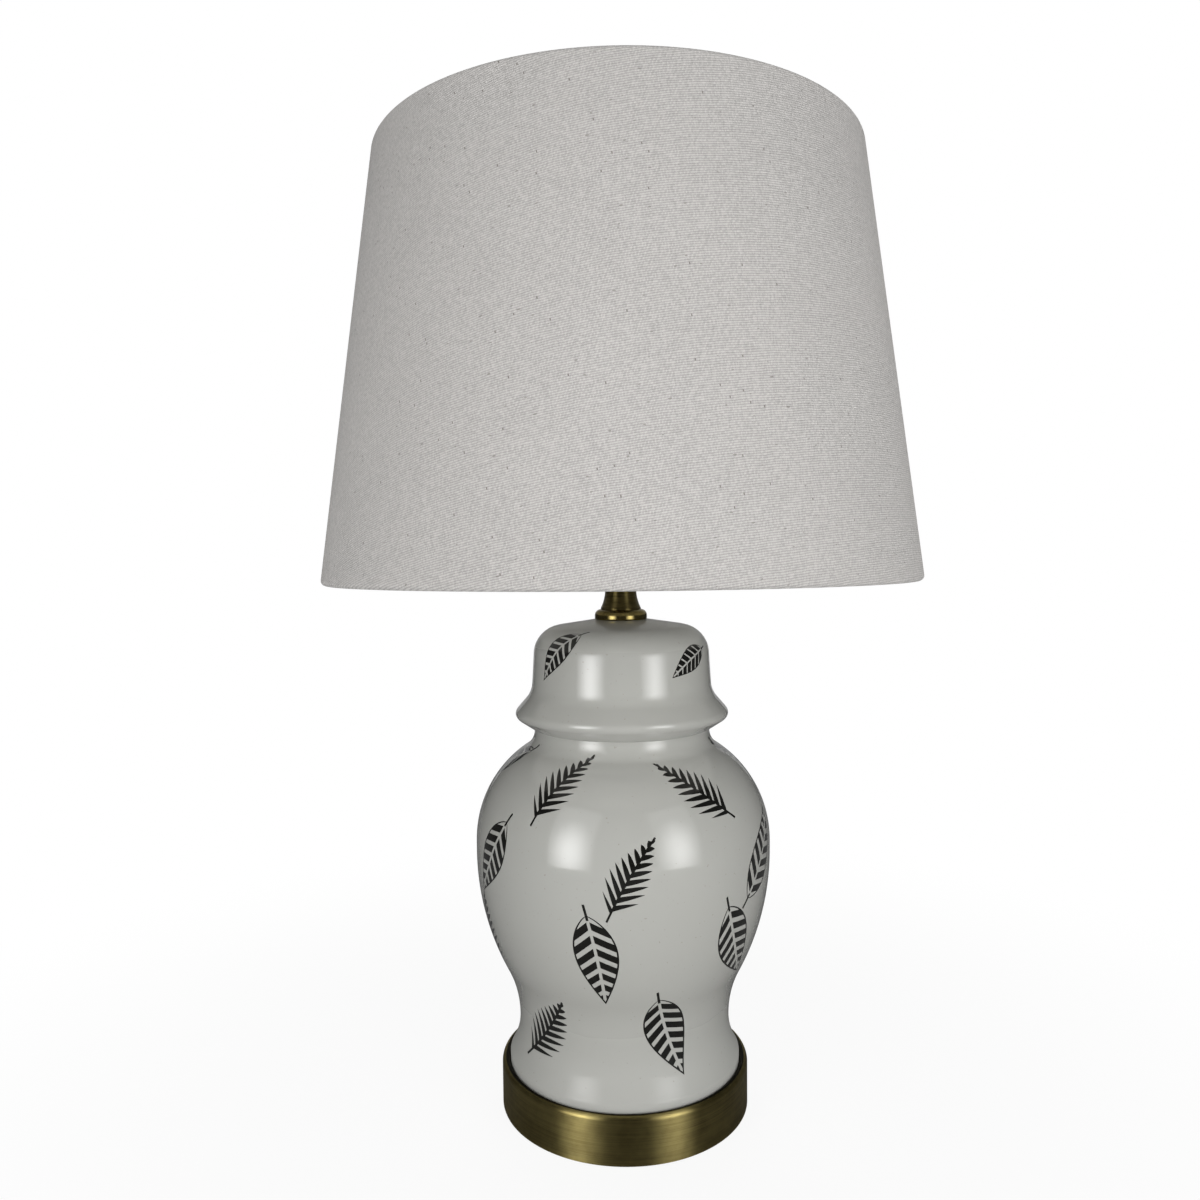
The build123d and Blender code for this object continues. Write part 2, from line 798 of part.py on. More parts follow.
# Harp, one bent wire from leg to leg with a boss at the top
leg_top = leg_bottom + leg_straight
bow_radius = harp_half_width - harp_top_flat
bow_start = harp_top - bow_radius
sway_run = harp_half_width - leg_offset
sway_radius = (sway_run**2 + (bow_start - leg_top) ** 2) / (4 * sway_run)
with BuildPart() as harp_wire:
    with BuildLine(Plane.XZ) as harp_path:
        for side in (-1, 1):
            Line((side * leg_offset, leg_bottom), (side * leg_offset, leg_top))
            s_curve((side * leg_offset, leg_top), (side * harp_half_width, bow_start), sway_radius)
            TangentArc(
                (side * harp_half_width, bow_start),
                (side * harp_top_flat, harp_top),
                tangent=(0, 1),
            )
        Line((-harp_top_flat, harp_top), (harp_top_flat, harp_top))
    with BuildSketch(Plane.XY.offset(leg_bottom)):
        with Locations((-leg_offset, 0)):
            Circle(wire_radius)
    sweep(path=harp_path.wires()[0])
    with BuildSketch(Plane.XY.offset(boss_bottom)):
        Circle(harp_boss_radius)
    extrude(amount=harp_boss_height)
    with BuildSketch(Plane.XY.offset(boss_bottom)):
        Circle(stud_pin_radius + shaft_gap)
    extrude(amount=harp_boss_height, mode=Mode.SUBTRACT)
finish(harp_wire, "harp_wire")

# Sleeves that slide down over the joints between the legs and the tongues
tongue_diagonal = sqrt((saddle_thickness / 2) ** 2 + (tongue_width / 2) ** 2)
ferrule_bore = max(tongue_diagonal, wire_radius) + running_gap
ferrule_bottom = tongue_bottom + running_gap
ferrule_names = {-1: "ferrule_left", 1: "ferrule_right"}
for side, ferrule_name in ferrule_names.items():
    with BuildPart() as ferrule:
        with BuildSketch(Plane.XY.offset(ferrule_bottom)):
            with Locations((side * leg_offset, 0)):
                Circle(ferrule_bore + ferrule_wall)
        extrude(amount=ferrule_length)
        fillet(ferrule.edges().filter_by(GeomType.CIRCLE), radius=ferrule_roll)
        with BuildSketch(Plane.XY.offset(ferrule_bottom)):
            with Locations((side * leg_offset, 0)):
                Circle(ferrule_bore)
        extrude(amount=ferrule_length, mode=Mode.SUBTRACT)
    finish(ferrule, ferrule_name)

# Stud riveted in the boss so that it turns, with the shoulder that the shade sits on
rivet_top = boss_bottom - running_gap
with BuildPart() as harp_stud:
    with BuildSketch(Plane.XZ):
        with BuildLine():
            Polyline(
                (0, rivet_top - stud_rivet_thickness),
                (stud_rivet_radius, rivet_top - stud_rivet_thickness),
                (stud_rivet_radius, rivet_top),
                (stud_pin_radius, rivet_top),
                (stud_pin_radius, stud_bottom),
                (stud_shoulder_radius, stud_bottom),
                (stud_shoulder_radius, stud_seat),
                (stud_radius, stud_seat),
                (stud_radius, stud_top),
                (0, stud_top),
                close=True,
            )
        make_face()
    revolve(axis=Axis.Z)
    fillet(harp_stud.edges().sort_by(Axis.Z)[-1], radius=stud_radius / 3)
finish(harp_stud, "harp_stud")

# Shade. Its section is drawn on a plane that leans with the wall: x points out of the wall
# and y runs up it, from the bottom edge.
lean_run = shade_bottom_radius - shade_top_radius
wall_length = sqrt(lean_run**2 + shade_height**2)
hem_radius = ring_wire_radius + slip_gap + fabric_thickness
hub_radius = stud_shoulder_radius + running_gap + spider_weld
wall_plane = Plane(
    origin=(shade_bottom_radius, 0, shade_bottom),
    x_dir=(shade_height, 0, lean_run),
    z_dir=(0, -1, 0),
)
hem_centres = [(-hem_radius, hem_radius), (-hem_radius, wall_length - hem_radius)]
ring_bottom = wall_plane.from_local_coords(hem_centres[0])
ring_top = wall_plane.from_local_coords(hem_centres[1])


def spider_arm(arm_radius):
    """One arm, welded on the hub, that runs outwards and then up to the top ring."""
    hub_middle = hub_bottom + hub_thickness / 2
    with BuildPart() as arm:
        with BuildLine(Plane.XZ) as arm_path:
            FilletPolyline(
                (hub_radius - spider_weld, hub_middle),
                (ring_top.X - spider_arm_rise_run, hub_middle),
                (ring_top.X, ring_top.Z),
                radius=[spider_arm_bend],
            )
        with BuildSketch(Plane.YZ.offset(hub_radius - spider_weld)):
            with Locations((0, hub_middle)):
                Circle(arm_radius)
        sweep(path=arm_path.wires()[0])
    return arm.part


bare_arm = spider_arm(spider_arm_radius)
arm_notch = spider_arm(spider_arm_radius + slip_gap)

# Spider: hub washer, arms and top ring, welded in one
with BuildPart() as shade_spider:
    with PolarLocations(0, spider_arms, start_angle=90):
        add(bare_arm)
    with BuildSketch(Plane.XZ):
        with Locations((ring_top.X, ring_top.Z)):
            Circle(ring_wire_radius)
    revolve(axis=Axis.Z)
    with BuildSketch(Plane.XY.offset(hub_bottom)):
        Circle(hub_radius)
    extrude(amount=hub_thickness)
    with BuildSketch(Plane.XY.offset(hub_bottom)):
        Circle(stud_radius + running_gap)
    extrude(amount=hub_thickness, mode=Mode.SUBTRACT)
finish(shade_spider, "shade_spider")

# Bottom ring, a plain hoop inside the hem
with BuildPart() as shade_bottom_ring:
    with BuildSketch(Plane.XZ):
        with Locations((ring_bottom.X, ring_bottom.Z)):
            Circle(ring_wire_radius)
    revolve(axis=Axis.Z)
finish(shade_bottom_ring, "shade_bottom_ring")

# Stiff lining between the two hems
lining_length = wall_length - 4 * hem_radius - 2 * lining_gap
with BuildPart() as shade_lining:
    with BuildSketch(wall_plane):
        with Locations((-fabric_thickness - lining_gap, 2 * hem_radius + lining_gap)):
            Rectangle(lining_thickness, lining_length, align=(Align.MAX, Align.MIN))
    revolve(axis=Axis.Z)
finish(shade_lining, "shade_lining")

# Linen cover, rolled round both rings and notched where the arms come through
with BuildPart() as shade_fabric:
    with BuildSketch(wall_plane):
        with Locations((0, hem_radius)):
            Rectangle(fabric_thickness, wall_length - 2 * hem_radius, align=(Align.MAX, Align.MIN))
        with Locations(*hem_centres):
            Circle(hem_radius)
            Circle(hem_radius - fabric_thickness, mode=Mode.SUBTRACT)
    revolve(axis=Axis.Z)
    with PolarLocations(0, spider_arms, start_angle=90):
        add(arm_notch, mode=Mode.SUBTRACT)
finish(shade_fabric, "shade_fabric")

# Finial
stem_top = finial_bottom + finial_foot_thickness + finial_stem_height
ball_centre = stem_top + sqrt(finial_ball_radius**2 - finial_stem_radius**2)
tip_start = ball_centre + sqrt(finial_ball_radius**2 - finial_tip_radius**2)
bore_top = stud_top + running_gap
with BuildPart() as finial:
    with BuildSketch(Plane.XY.offset(finial_bottom)):
        Circle(finial_foot_radius)
    extrude(amount=finial_foot_thickness)
    fillet(finial.edges().sort_by(Axis.Z)[-1], radius=finial_foot_thickness / 2)
    with BuildSketch(Plane.XY.offset(finial_bottom)):
        Circle(finial_stem_radius)
    extrude(amount=ball_centre - finial_bottom)
    with BuildSketch(Plane.XZ):
        with Locations((0, ball_centre)):
            Circle(finial_ball_radius)
            Rectangle(
                finial_ball_radius,
                2 * finial_ball_radius,
                align=(Align.MAX, Align.CENTER),
                mode=Mode.SUBTRACT,
            )
    revolve(axis=Axis.Z)
    with BuildSketch(Plane.XY.offset(ball_centre)):
        Circle(finial_tip_radius)
    extrude(amount=tip_start - ball_centre + finial_tip_height)
    fillet(finial.edges().sort_by(Axis.Z)[-1], radius=finial_tip_radius / 2)
    with BuildSketch(Plane.XY.offset(finial_bottom)):
        Circle(stud_radius + slip_gap)
    extrude(amount=bore_top - finial_bottom, mode=Mode.SUBTRACT)
finish(finial, "finial")
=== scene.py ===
import math
from functools import partialmethod

import bmesh
import bpy
from bpy.props import FloatProperty, FloatVectorProperty, IntProperty, PointerProperty
from mathutils import Matrix, Vector


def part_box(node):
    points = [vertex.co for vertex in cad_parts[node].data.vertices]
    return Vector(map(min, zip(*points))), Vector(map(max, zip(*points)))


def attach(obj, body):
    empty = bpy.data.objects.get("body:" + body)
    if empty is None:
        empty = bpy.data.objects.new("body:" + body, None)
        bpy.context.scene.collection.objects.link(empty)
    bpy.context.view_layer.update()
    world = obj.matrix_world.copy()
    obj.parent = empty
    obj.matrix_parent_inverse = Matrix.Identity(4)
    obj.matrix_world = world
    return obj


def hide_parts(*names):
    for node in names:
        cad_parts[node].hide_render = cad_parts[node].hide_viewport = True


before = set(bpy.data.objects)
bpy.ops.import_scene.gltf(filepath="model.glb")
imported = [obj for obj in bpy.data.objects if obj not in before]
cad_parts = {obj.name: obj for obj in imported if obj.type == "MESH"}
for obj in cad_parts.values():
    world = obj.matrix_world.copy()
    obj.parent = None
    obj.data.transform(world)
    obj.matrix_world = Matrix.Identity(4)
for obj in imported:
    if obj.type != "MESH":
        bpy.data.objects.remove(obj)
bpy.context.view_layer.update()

bl_info = {
    "name": "Ceramic table lamp",
    "version": (1, 0, 0),
    "blender": (4, 5, 0),
    "location": "3D View > Sidebar > Lamp",
    "description": "Dresses the packed lamp: glazed jar, brushed brass, linen shade, bulb and harp",
    "category": "Add Mesh",
}

FULL_TURN = 2 * math.pi
TURN_STEPS = 128
FINE_STEPS = 192
SHARP = math.radians(32)
WELD = 1e-6
PIPE_HOLE = 0.00525
STUD_THREAD = 0.012
LAMP_MIDDLE = 0.33
WHITE = (1, 1, 1)
METAL = {"Metallic": 1.0}


def outline_of(node):
    """A round node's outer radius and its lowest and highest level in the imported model."""
    low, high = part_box(node)
    return (high.x - low.x) / 2, low.z, high.z


def length(default, description):
    """A size in metres that a user may change."""
    return FloatProperty(description=description, default=default, unit="LENGTH", precision=4)


def share(default, description):
    """A plain number between 0 and 1 that a user may change."""
    return FloatProperty(description=description, default=default, min=0, max=1, subtype="FACTOR")


def colour(default, description):
    """A colour that a user may change."""
    return FloatVectorProperty(
        description=description, default=default, size=3, min=0, max=1, subtype="COLOR"
    )


class LampSizes(bpy.types.PropertyGroup):
    """Sizes of the pieces that are turned or sewn for the lamp"""

    foot_radius: length(0.0714, "Jar radius at its foot")
    foot_band: length(0.0085, "Height of the straight band above the foot")
    waist_radius: length(0.0651, "Jar radius at its waist")
    waist_height: length(0.031, "Height of the waist above the foot")
    waist_share: share(0.3265, "Where the waist's curve passes into the belly's")
    belly_height: length(0.136, "Height of the belly above the foot")
    belly_band: length(0.006, "Height of the straight band at the belly")
    shoulder_share: share(0.846, "Where the shoulder's curve passes into the neck's")
    neck_radius: length(0.054, "Jar radius under the lid")
    jar_wall: length(0.0055, "Thickness of the jar's wall")
    lid_seat: length(0.055, "Lid radius where it sits on the mouth")
    lid_flange: length(0.0674, "Radius at the corner of the lid's flange")
    lid_foot: length(0.0554, "Lid radius above its flange")
    lid_shoulder: length(0.0532, "Lid radius under its top")
    lid_top: length(0.0175, "Radius of the flat on top of the lid")
    lid_wall: length(0.0039, "Thickness of the lid's wall")
    plinth_wall: length(0.0012, "Thickness of the brass sheet")
    fabric: length(0.0008, "Thickness of the linen")
    hem: length(0.0029, "Outer radius of the rolled hems")
    shade_bottom: length(0.1783, "Shade radius at its lower edge")
    shade_top: length(0.1448, "Shade radius at its upper edge")
    shade_height: length(0.2498, "Height of the shade")
    seam: length(0.013, "Width of the lap at the back of the shade")
    warp: length(0.00064, "Spacing of the linen's upright threads")
    weft: length(0.00114, "Spacing of the linen's level threads")
    grain: FloatProperty(
        description="Rise of the level threads at the front", default=math.radians(9), subtype="ANGLE"
    )
    leaf: length(0.0268, "Half the length of a printed leaf")
    leaf_columns: IntProperty(description="Printed leaves round the jar", default=6, min=3)


class LampColours(bpy.types.PropertyGroup):
    """Colours of the lamp's finishes"""

    glaze: colour((0.392, 0.394, 0.371), "White glaze of the jar and its lid")
    ink: colour((0.004, 0.004, 0.003), "Printed leaves under the glaze")
    brass: colour((0.515, 0.425, 0.168), "Brushed brass of the plinth and the neck")
    patina: colour((0.20, 0.155, 0.055), "Darkened brass in the brush marks")
    plated: colour((0.62, 0.46, 0.20), "Bright brass of the socket and the harp")
    steel: colour((0.55, 0.56, 0.57), "Plated steel of the fitter and the nuts")
    linen: colour((0.427, 0.414, 0.401), "Shade cover")
    slub: colour((0.17, 0.155, 0.14), "Dark fibres in the linen")
    lining: colour((0.78, 0.77, 0.74), "Inside of the shade")
    felt: colour((0.035, 0.042, 0.036), "Pad under the base")
    opal: colour((0.80, 0.80, 0.77), "Bulb globe")
    housing: colour((0.74, 0.74, 0.72), "Bulb housing")


def sizes():
    return bpy.context.scene.lamp_sizes


def colours():
    return bpy.context.scene.lamp_colours


class Value:
    """An output of a node. Sums on values add Math nodes."""

    def __init__(self, nodes, socket):
        self.nodes = nodes
        self.socket = socket

    def math(self, operation, *others):
        return self.nodes.math(operation, self, *others)

    def output(self, name):
        return Value(self.nodes, self.socket.node.outputs[name])

    def __rsub__(self, other):
        return self.nodes.math("SUBTRACT", other, self)

    __add__ = __radd__ = partialmethod(math, "ADD")
    __sub__ = partialmethod(math, "SUBTRACT")
    __mul__ = __rmul__ = partialmethod(math, "MULTIPLY")
    __truediv__ = partialmethod(math, "DIVIDE")
    __pow__ = partialmethod(math, "POWER")
    __abs__ = partialmethod(math, "ABSOLUTE")
    __lt__ = partialmethod(math, "LESS_THAN")
    __gt__ = partialmethod(math, "GREATER_THAN")


class Nodes:
    """A tree of nodes round one main shader. Any other node comes from its node method."""

    def __init__(self, tree, shader):
        self.tree = tree
        self.shader = tree.nodes[shader]

    def feed(self, sockets, node=None):
        """Set a node's sockets, the main shader's unless another is named, to values or links."""
        for key, value in sockets.items():
            socket = (node or self.shader).inputs[key]
            if isinstance(value, Value):
                self.tree.links.new(value.socket, socket)
            elif socket.type == "RGBA":
                socket.default_value = (*value, 1)
            else:
                socket.default_value = value

    def node(self, kind, settings, sockets, output=0):
        """Add a node of any kind, with its settings first and then its sockets."""
        made = self.tree.nodes.new("ShaderNode" + kind)
        for key, value in settings.items():
            setattr(made, key, value)
        self.feed(sockets, made)
        return Value(self, made.outputs[output])

    def math(self, operation, *values):
        return self.node("Math", {"operation": operation}, dict(enumerate(values)))

    def mix(self, factor, first, second):
        """Mix two colours."""
        return self.node("Mix", {"data_type": "RGBA"}, {0: factor, 6: first, 7: second}, 2)

    def split(self, vector):
        parts = self.node("SeparateXYZ", {}, {0: vector})
        return parts, parts.output("Y"), parts.output("Z")

    def join(self, x, y, z=0.0):
        return self.node("CombineXYZ", {}, {0: x, 1: y, 2: z})

    def place(self):
        """The point on the piece, in metres."""
        return self.node("TexCoord", {}, {}, "Object")

    def surface(self):
        """The piece's own surface coordinates."""
        return self.node("UVMap", {"uv_map": "surface"}, {})

    def noise(self, vector, scale, detail=2.0, roughness=0.5):
        sockets = {"Vector": vector, "Scale": scale, "Detail": detail, "Roughness": roughness}
        return self.node("TexNoise", {}, sockets)

    def dice(self, vector):
        """Three random numbers for a cell."""
        return self.split(self.node("TexWhiteNoise", {}, {"Vector": vector}, "Color"))

    def ramp(self, value, low, high, first=0.0, last=1.0):
        """The first value below low, the last above high, smooth between."""
        sockets = {"Value": value, "From Min": low, "From Max": high, "To Min": first, "To Max": last}
        return self.node("MapRange", {"interpolation_type": "SMOOTHSTEP"}, sockets)

    def bump(self, height, strength, distance):
        sockets = {"Height": height, "Strength": strength, "Distance": distance}
        self.feed({"Normal": self.node("Bump", {}, sockets)})

    def seen(self):
        """1 for rays that see the background: camera, glossy and transmission rays."""
        path = self.node("LightPath", {}, {}, "Is Camera Ray")
        mirrored = path.math("MAXIMUM", path.output("Is Glossy Ray"))
        return mirrored.math("MAXIMUM", path.output("Is Transmission Ray"))

    def whiten(self, share_white, white, end):
        """Mix white light into what the main shader shows at the tree's end."""
        own = Value(self, self.shader.outputs[0])
        either = self.node("MixShader", {}, {"Fac": share_white, 1: own, 2: white})
        self.feed({"Surface": either}, self.tree.nodes[end])


class Finish(Nodes):
    """A material whose fixed values are set at once."""

    def __init__(self, name, fixed):
        self.material = bpy.data.materials.new(name)
        self.material.use_nodes = True
        super().__init__(self.material.node_tree, "Principled BSDF")
        self.feed(fixed)


def leaf_ink(x, y, veining, broad):
    """Ink of one leaf from -1 to 1 in y: a fern sprig, or a broad veined leaf where broad is 1."""
    stem_width, rib_width, rim_width = 0.026, 0.03, 0.035
    leaflets, leaflet_slant, leaflet_fill = 4.6, 0.85, 0.74
    veins, vein_slant = 3.7, 0.62
    away = abs(x)
    inside = abs(y) < 1
    rise = (y * 0.5 + 0.5).math("MAXIMUM", 0).math("MINIMUM", 1)
    width = ((rise ** 0.72) * math.pi).math("SINE") * 0.50
    stem = (away < stem_width) * (y < 0.97) * (y > -1.22)
    reach = away / (width + 0.0001)
    pinna = abs(((y - away * leaflet_slant) * leaflets + (x > 0) * 0.5).math("FRACT") - 0.5) * 2
    sprig = ((pinna < (1 - reach * reach) * leaflet_fill) * inside).math("MAXIMUM", stem)
    edge = width * 0.86
    blade = (away < edge) * inside
    vein = abs(((y - away * vein_slant) * veins).math("FRACT") - 0.5) * 2 < 0.2 + veining * 0.22
    rib = away < rib_width
    rim = (blade - (away < edge - rim_width) * inside).math("MAXIMUM", 0)
    stalk = stem * (y < -0.9)
    leaf = (blade * (1 - vein.math("MAXIMUM", rib))).math("MAXIMUM", stalk).math("MAXIMUM", rim)
    return sprig * (1 - broad) + leaf * broad


def leaf_print(finish, angle, run, radius, columns, layer, half):
    """Scattered leaves round a turned piece: 1 where the ink lies.

    A layer is where its first row starts along the outline, the height of a row, the number of rows
    and the share of a column by which it is turned on.
    """
    first_row, row_height, rows, shift = layer
    row_turn, side_play, up_play = 0.31, 0.006, 0.008
    level = (run - first_row) / row_height
    row = level.math("FLOOR")
    turns = angle * (columns / FULL_TURN) + row * row_turn + shift
    column = turns.math("FLOOR")
    cell = (column / columns).math("FRACT") * columns
    side_step, up_step, tilt = finish.dice(finish.join(cell + 0.5, row + shift))
    kind, size, curl = finish.dice(finish.join(row + 7.5, cell + shift))
    across = (turns - column - 0.5) * radius * (FULL_TURN / columns) + (side_step - 0.5) * side_play
    along = (level - row - 0.5) * row_height + (up_step - 0.5) * up_play
    heading = (tilt - 0.5) * 2.0 + (kind > 0.66) * 3.0
    cosine = heading.math("COSINE")
    sine = heading.math("SINE")
    reach = half * (0.80 + size * 0.30)
    x = (across * cosine + along * sine) / reach
    y = (along * cosine - across * sine) / reach
    bent = x - (1 - y * y) * (curl - 0.5) * 0.26
    printed = leaf_ink(bent, y, size, kind > 0.46)
    return printed * (row > -0.5) * (row < rows - 0.5)


def glaze_finish(name, leaf, columns, *layers):
    """White gloss glaze over printed leaves, wavy and specked as fired glaze is, duller at foot and top."""
    finish = Finish(name, {"Coat Roughness": 0.04, "Specular IOR Level": 0.36})
    angle, run, _ = finish.split(finish.surface())
    place = finish.place()
    x, y, z = finish.split(place)
    radius = (x * x + y * y) ** 0.5
    ink = 0
    for layer in layers:
        ink = leaf_print(finish, angle, run, radius, columns, layer, leaf).math("MAXIMUM", ink)
    cloud = finish.noise(place, 12, 1)
    glaze = colours().glaze
    warm = tuple(part * tone for part, tone in zip(glaze, (0.97, 0.965, 0.955)))
    speck = (0.23, 0.21, 0.17)
    specks = finish.ramp(finish.noise(place, 620, 1), 0.735, 0.78)
    body = finish.mix(specks * 0.45, finish.mix(cloud, warm, glaze), speck)
    density = finish.noise(place, 260, 2) * 0.012 + 0.99
    foot = 1 - finish.ramp(z, 0.03, 0.09)
    top = finish.ramp(z, 0.272, 0.302) * 0.7
    worn = foot.math("MAXIMUM", top)
    finish.feed({
        "Base Color": finish.mix(ink * density, body, colours().ink),
        "Roughness": finish.noise(place, 40, 2) * 0.06 + 0.10 + worn * 0.5,
        "Coat Weight": 1 - worn * 0.55,
    })
    finish.bump(finish.noise(place, 30, 0), 0.15, 0.0008)
    return finish


def brass_finish(name, base, dark, roughness, brushed, crevice=0.0):
    """Turned brass: fine rings of brush marks and cloudy patina, with painted shade, near black and less
    glossy, inside the crevice radius.
    """
    finish = Finish(name, {**METAL, "Anisotropic": 0.96 * brushed, "Anisotropic Rotation": 0.25})
    place = finish.place()
    x, y, z = finish.split(place)
    radius = (x * x + y * y) ** 0.5
    around = y.math("ARCTAN2", x)
    fine_rings, coarse_rings = 2600, 700
    fine = finish.noise(finish.join(radius * fine_rings, z * fine_rings, around * 1.6), 1, 2, 0.6)
    coarse = finish.noise(finish.join(radius * coarse_rings, z * coarse_rings, around * 0.9), 1, 1)
    cloud = finish.noise(place, 55, 4, 0.6)
    tone = fine * (0.55 * brushed) + coarse * (0.35 * brushed) + cloud * 0.75
    metal = finish.mix(finish.ramp(tone, 0.38, 1.12), dark, base)
    # Painted shade: the brass goes near black and rougher inside the crevice radius, where the jar stands
    # in the plinth's rim.
    painted_shade = 1 - finish.ramp(radius, crevice - 0.0012, crevice)
    painted_shade_colour = (0.012, 0.010, 0.006)
    finish.feed({
        "Base Color": finish.mix(painted_shade * 0.94, metal, painted_shade_colour),
        "Roughness": roughness + cloud * 0.08 + fine * (0.10 * brushed) + painted_shade * 0.3,
    })
    finish.bump(fine + coarse * 0.6, 0.30 * brushed + 0.02, 0.00004)
    return finish


def linen_finish(name):
    """Plain weave of fine upright and coarser level threads, with uneven yarn and a few dark slubs."""
    finish = Finish(name, {"Sheen Weight": 0.12, "Sheen Roughness": 0.5, "Specular IOR Level": 0.15})

    def stray(point):
        """How far a thread wanders from its place, in threads."""
        return (finish.noise(point, 70, 1) - 0.5) * 0.8

    def crest(hump, crossing):
        """Height of a thread that lies on top of the one it crosses."""
        return hump * (0.45 + crossing * 0.55)

    size = sizes()
    right, up, _ = finish.split(finish.surface())
    across = right * math.cos(size.grain) + up * math.sin(size.grain)
    along = up * math.cos(size.grain) - right * math.sin(size.grain)
    spot = finish.join(across, along)
    warp = across / size.warp + stray(spot)
    weft = along / size.weft + stray(finish.join(along, across))
    warp_hump = (warp.math("FRACT") * math.pi).math("SINE")
    weft_hump = (weft.math("FRACT") * math.pi).math("SINE")
    over = ((warp.math("FLOOR") + weft.math("FLOOR")) * 0.5).math("FRACT") * 2
    height = over * crest(warp_hump, weft_hump) + (1 - over) * crest(weft_hump, warp_hump)
    yarn, fleck, _ = finish.dice(finish.join(warp.math("FLOOR"), weft.math("FLOOR")))
    upright = finish.noise(finish.join(warp * 0.9, weft * 0.2), 1, 0)
    level = finish.noise(finish.join(warp * 0.12, weft * 0.9, 3.0), 1, 0)
    tone = yarn * 0.48 + upright * 0.22 + level * 0.30
    patch = finish.noise(spot, 26, 2)
    slub = finish.ramp(finish.noise(finish.join(warp * 0.2, weft * 0.8, 9.0), 1, 0), 0.80, 0.84)
    pale, deep = (tuple(min(1, part * tone) for part in colours().linen) for tone in (1.36, 0.60))
    # The threads' height paints the colour too: paler crests and darker gaps between threads are painted
    # shade of the weave.
    cloth = finish.mix(finish.ramp(tone * 0.24 + height * 0.33 + patch * 0.03, 0.05, 0.55), deep, pale)
    finish.feed({
        "Base Color": finish.mix(slub * 0.6 + (fleck > 0.9988) * 0.8, cloth, colours().slub),
        "Roughness": 0.86 + tone * 0.1,
    })
    finish.bump(height * 0.6 + upright * 0.4 + level * 0.4, 0.5, 0.00025)
    return finish


def plain_finish(name, base, tone, roughness, grain, depth, **fixed):
    """A moulded, pressed or drawn material: base with a cloudy second tone and a fine grain."""
    finish = Finish(name, fixed)
    place = finish.place()
    cloud = finish.noise(place, grain * 0.12, 3)
    fine = finish.noise(place, grain, 2, 0.6)
    second = tuple(part * tone for part in base)
    finish.feed({
        "Base Color": finish.mix(cloud * 0.6 + fine * 0.4, second, base),
        "Roughness": roughness - 0.06 + fine * 0.12,
    })
    finish.bump(fine, 0.4, depth)
    return finish


def all_of(bm):
    """All the vertices, edges and faces of a bmesh."""
    return bm.verts[:] + bm.edges[:] + bm.faces[:]


def spin(bm, angle, steps, start=0.0, **more):
    """Turn all of a bmesh to a start angle and spin it from there, about the lamp's axis."""
    bmesh.ops.rotate(bm, verts=bm.verts, matrix=Matrix.Rotation(start, 3, "Z"))
    bmesh.ops.spin(bm, geom=all_of(bm), cent=(0, 0, 0), axis=(0, 0, 1), angle=angle, steps=steps, **more)


def outward(bm):
    """Make every face look outwards."""
    bmesh.ops.recalc_face_normals(bm, faces=bm.faces)
    return bm


class Path:
    """A shape that grows from its tip, point by point in the XZ plane."""

    def __init__(self, x, z):
        self.bm = bmesh.new()
        self.here = Vector((x, z))
        self.tip = []

    def arc(self, x, z, turn, steps=10):
        """An arc about a point; a positive turn, in radians, bends to the right."""
        spun = bmesh.ops.spin(
            self.bm, geom=self.tip, cent=(x, 0, z), axis=(0, 1, 0), angle=turn, steps=steps
        )
        self.tip = spun["geom_last"]
        centre = Vector((x, z))
        self.here = centre + Matrix.Rotation(-turn, 2) @ (self.here - centre)
        return self

    def ease(self, x, z, steps):
        """One arc to a point, where it arrives upright."""
        run = self.here.x - x
        rise = z - self.here.y
        bend = (run * run + rise * rise) / (2 * run)
        return self.arc(x + bend, z, 2 * math.atan2(run, rise), steps)

    def sway(self, x, z, at, steps=24):
        """Two arcs that leave and arrive upright and meet at a share of their chord."""
        run = x - self.here.x
        rise = z - self.here.y
        turn = 2 * math.atan2(run, rise)
        span = math.hypot(run, rise)
        lower = at * span * span / (2 * run)
        upper = (1 - at) * span * span / (2 * run)
        self.arc(self.here.x + lower, self.here.y, turn, steps)
        return self.arc(x - upper, z, -turn, steps)


class Rod(Path):
    """A round bar. Its heading is 0 for a bar that starts upwards."""

    def __init__(self, x, z, radius, heading=0.0, sides=20):
        super().__init__(x, z)
        place = Matrix.Translation((x, 0, z)) @ Matrix.Rotation(heading, 4, "Y")
        bmesh.ops.create_circle(self.bm, segments=sides, radius=radius, matrix=place)
        self.tip = self.bm.verts[:] + self.bm.edges[:]

    def line(self, x, z):
        """A straight run to a point."""
        ring = [part for part in self.tip if isinstance(part, bmesh.types.BMEdge)]
        grown = bmesh.ops.extrude_edge_only(self.bm, edges=ring)["geom"]
        verts = [part for part in grown if isinstance(part, bmesh.types.BMVert)]
        edges = [edge for vert in verts for edge in vert.link_edges if edge.other_vert(vert) in verts]
        step = Vector((x, z)) - self.here
        bmesh.ops.translate(self.bm, verts=verts, vec=(step.x, 0, step.y))
        self.tip = verts + list(set(edges))
        self.here = Vector((x, z))
        return self

    def capped(self):
        """Close both ends."""
        bmesh.ops.edgeloop_fill(self.bm, edges=[edge for edge in self.bm.edges if edge.is_boundary])
        return outward(self.bm)


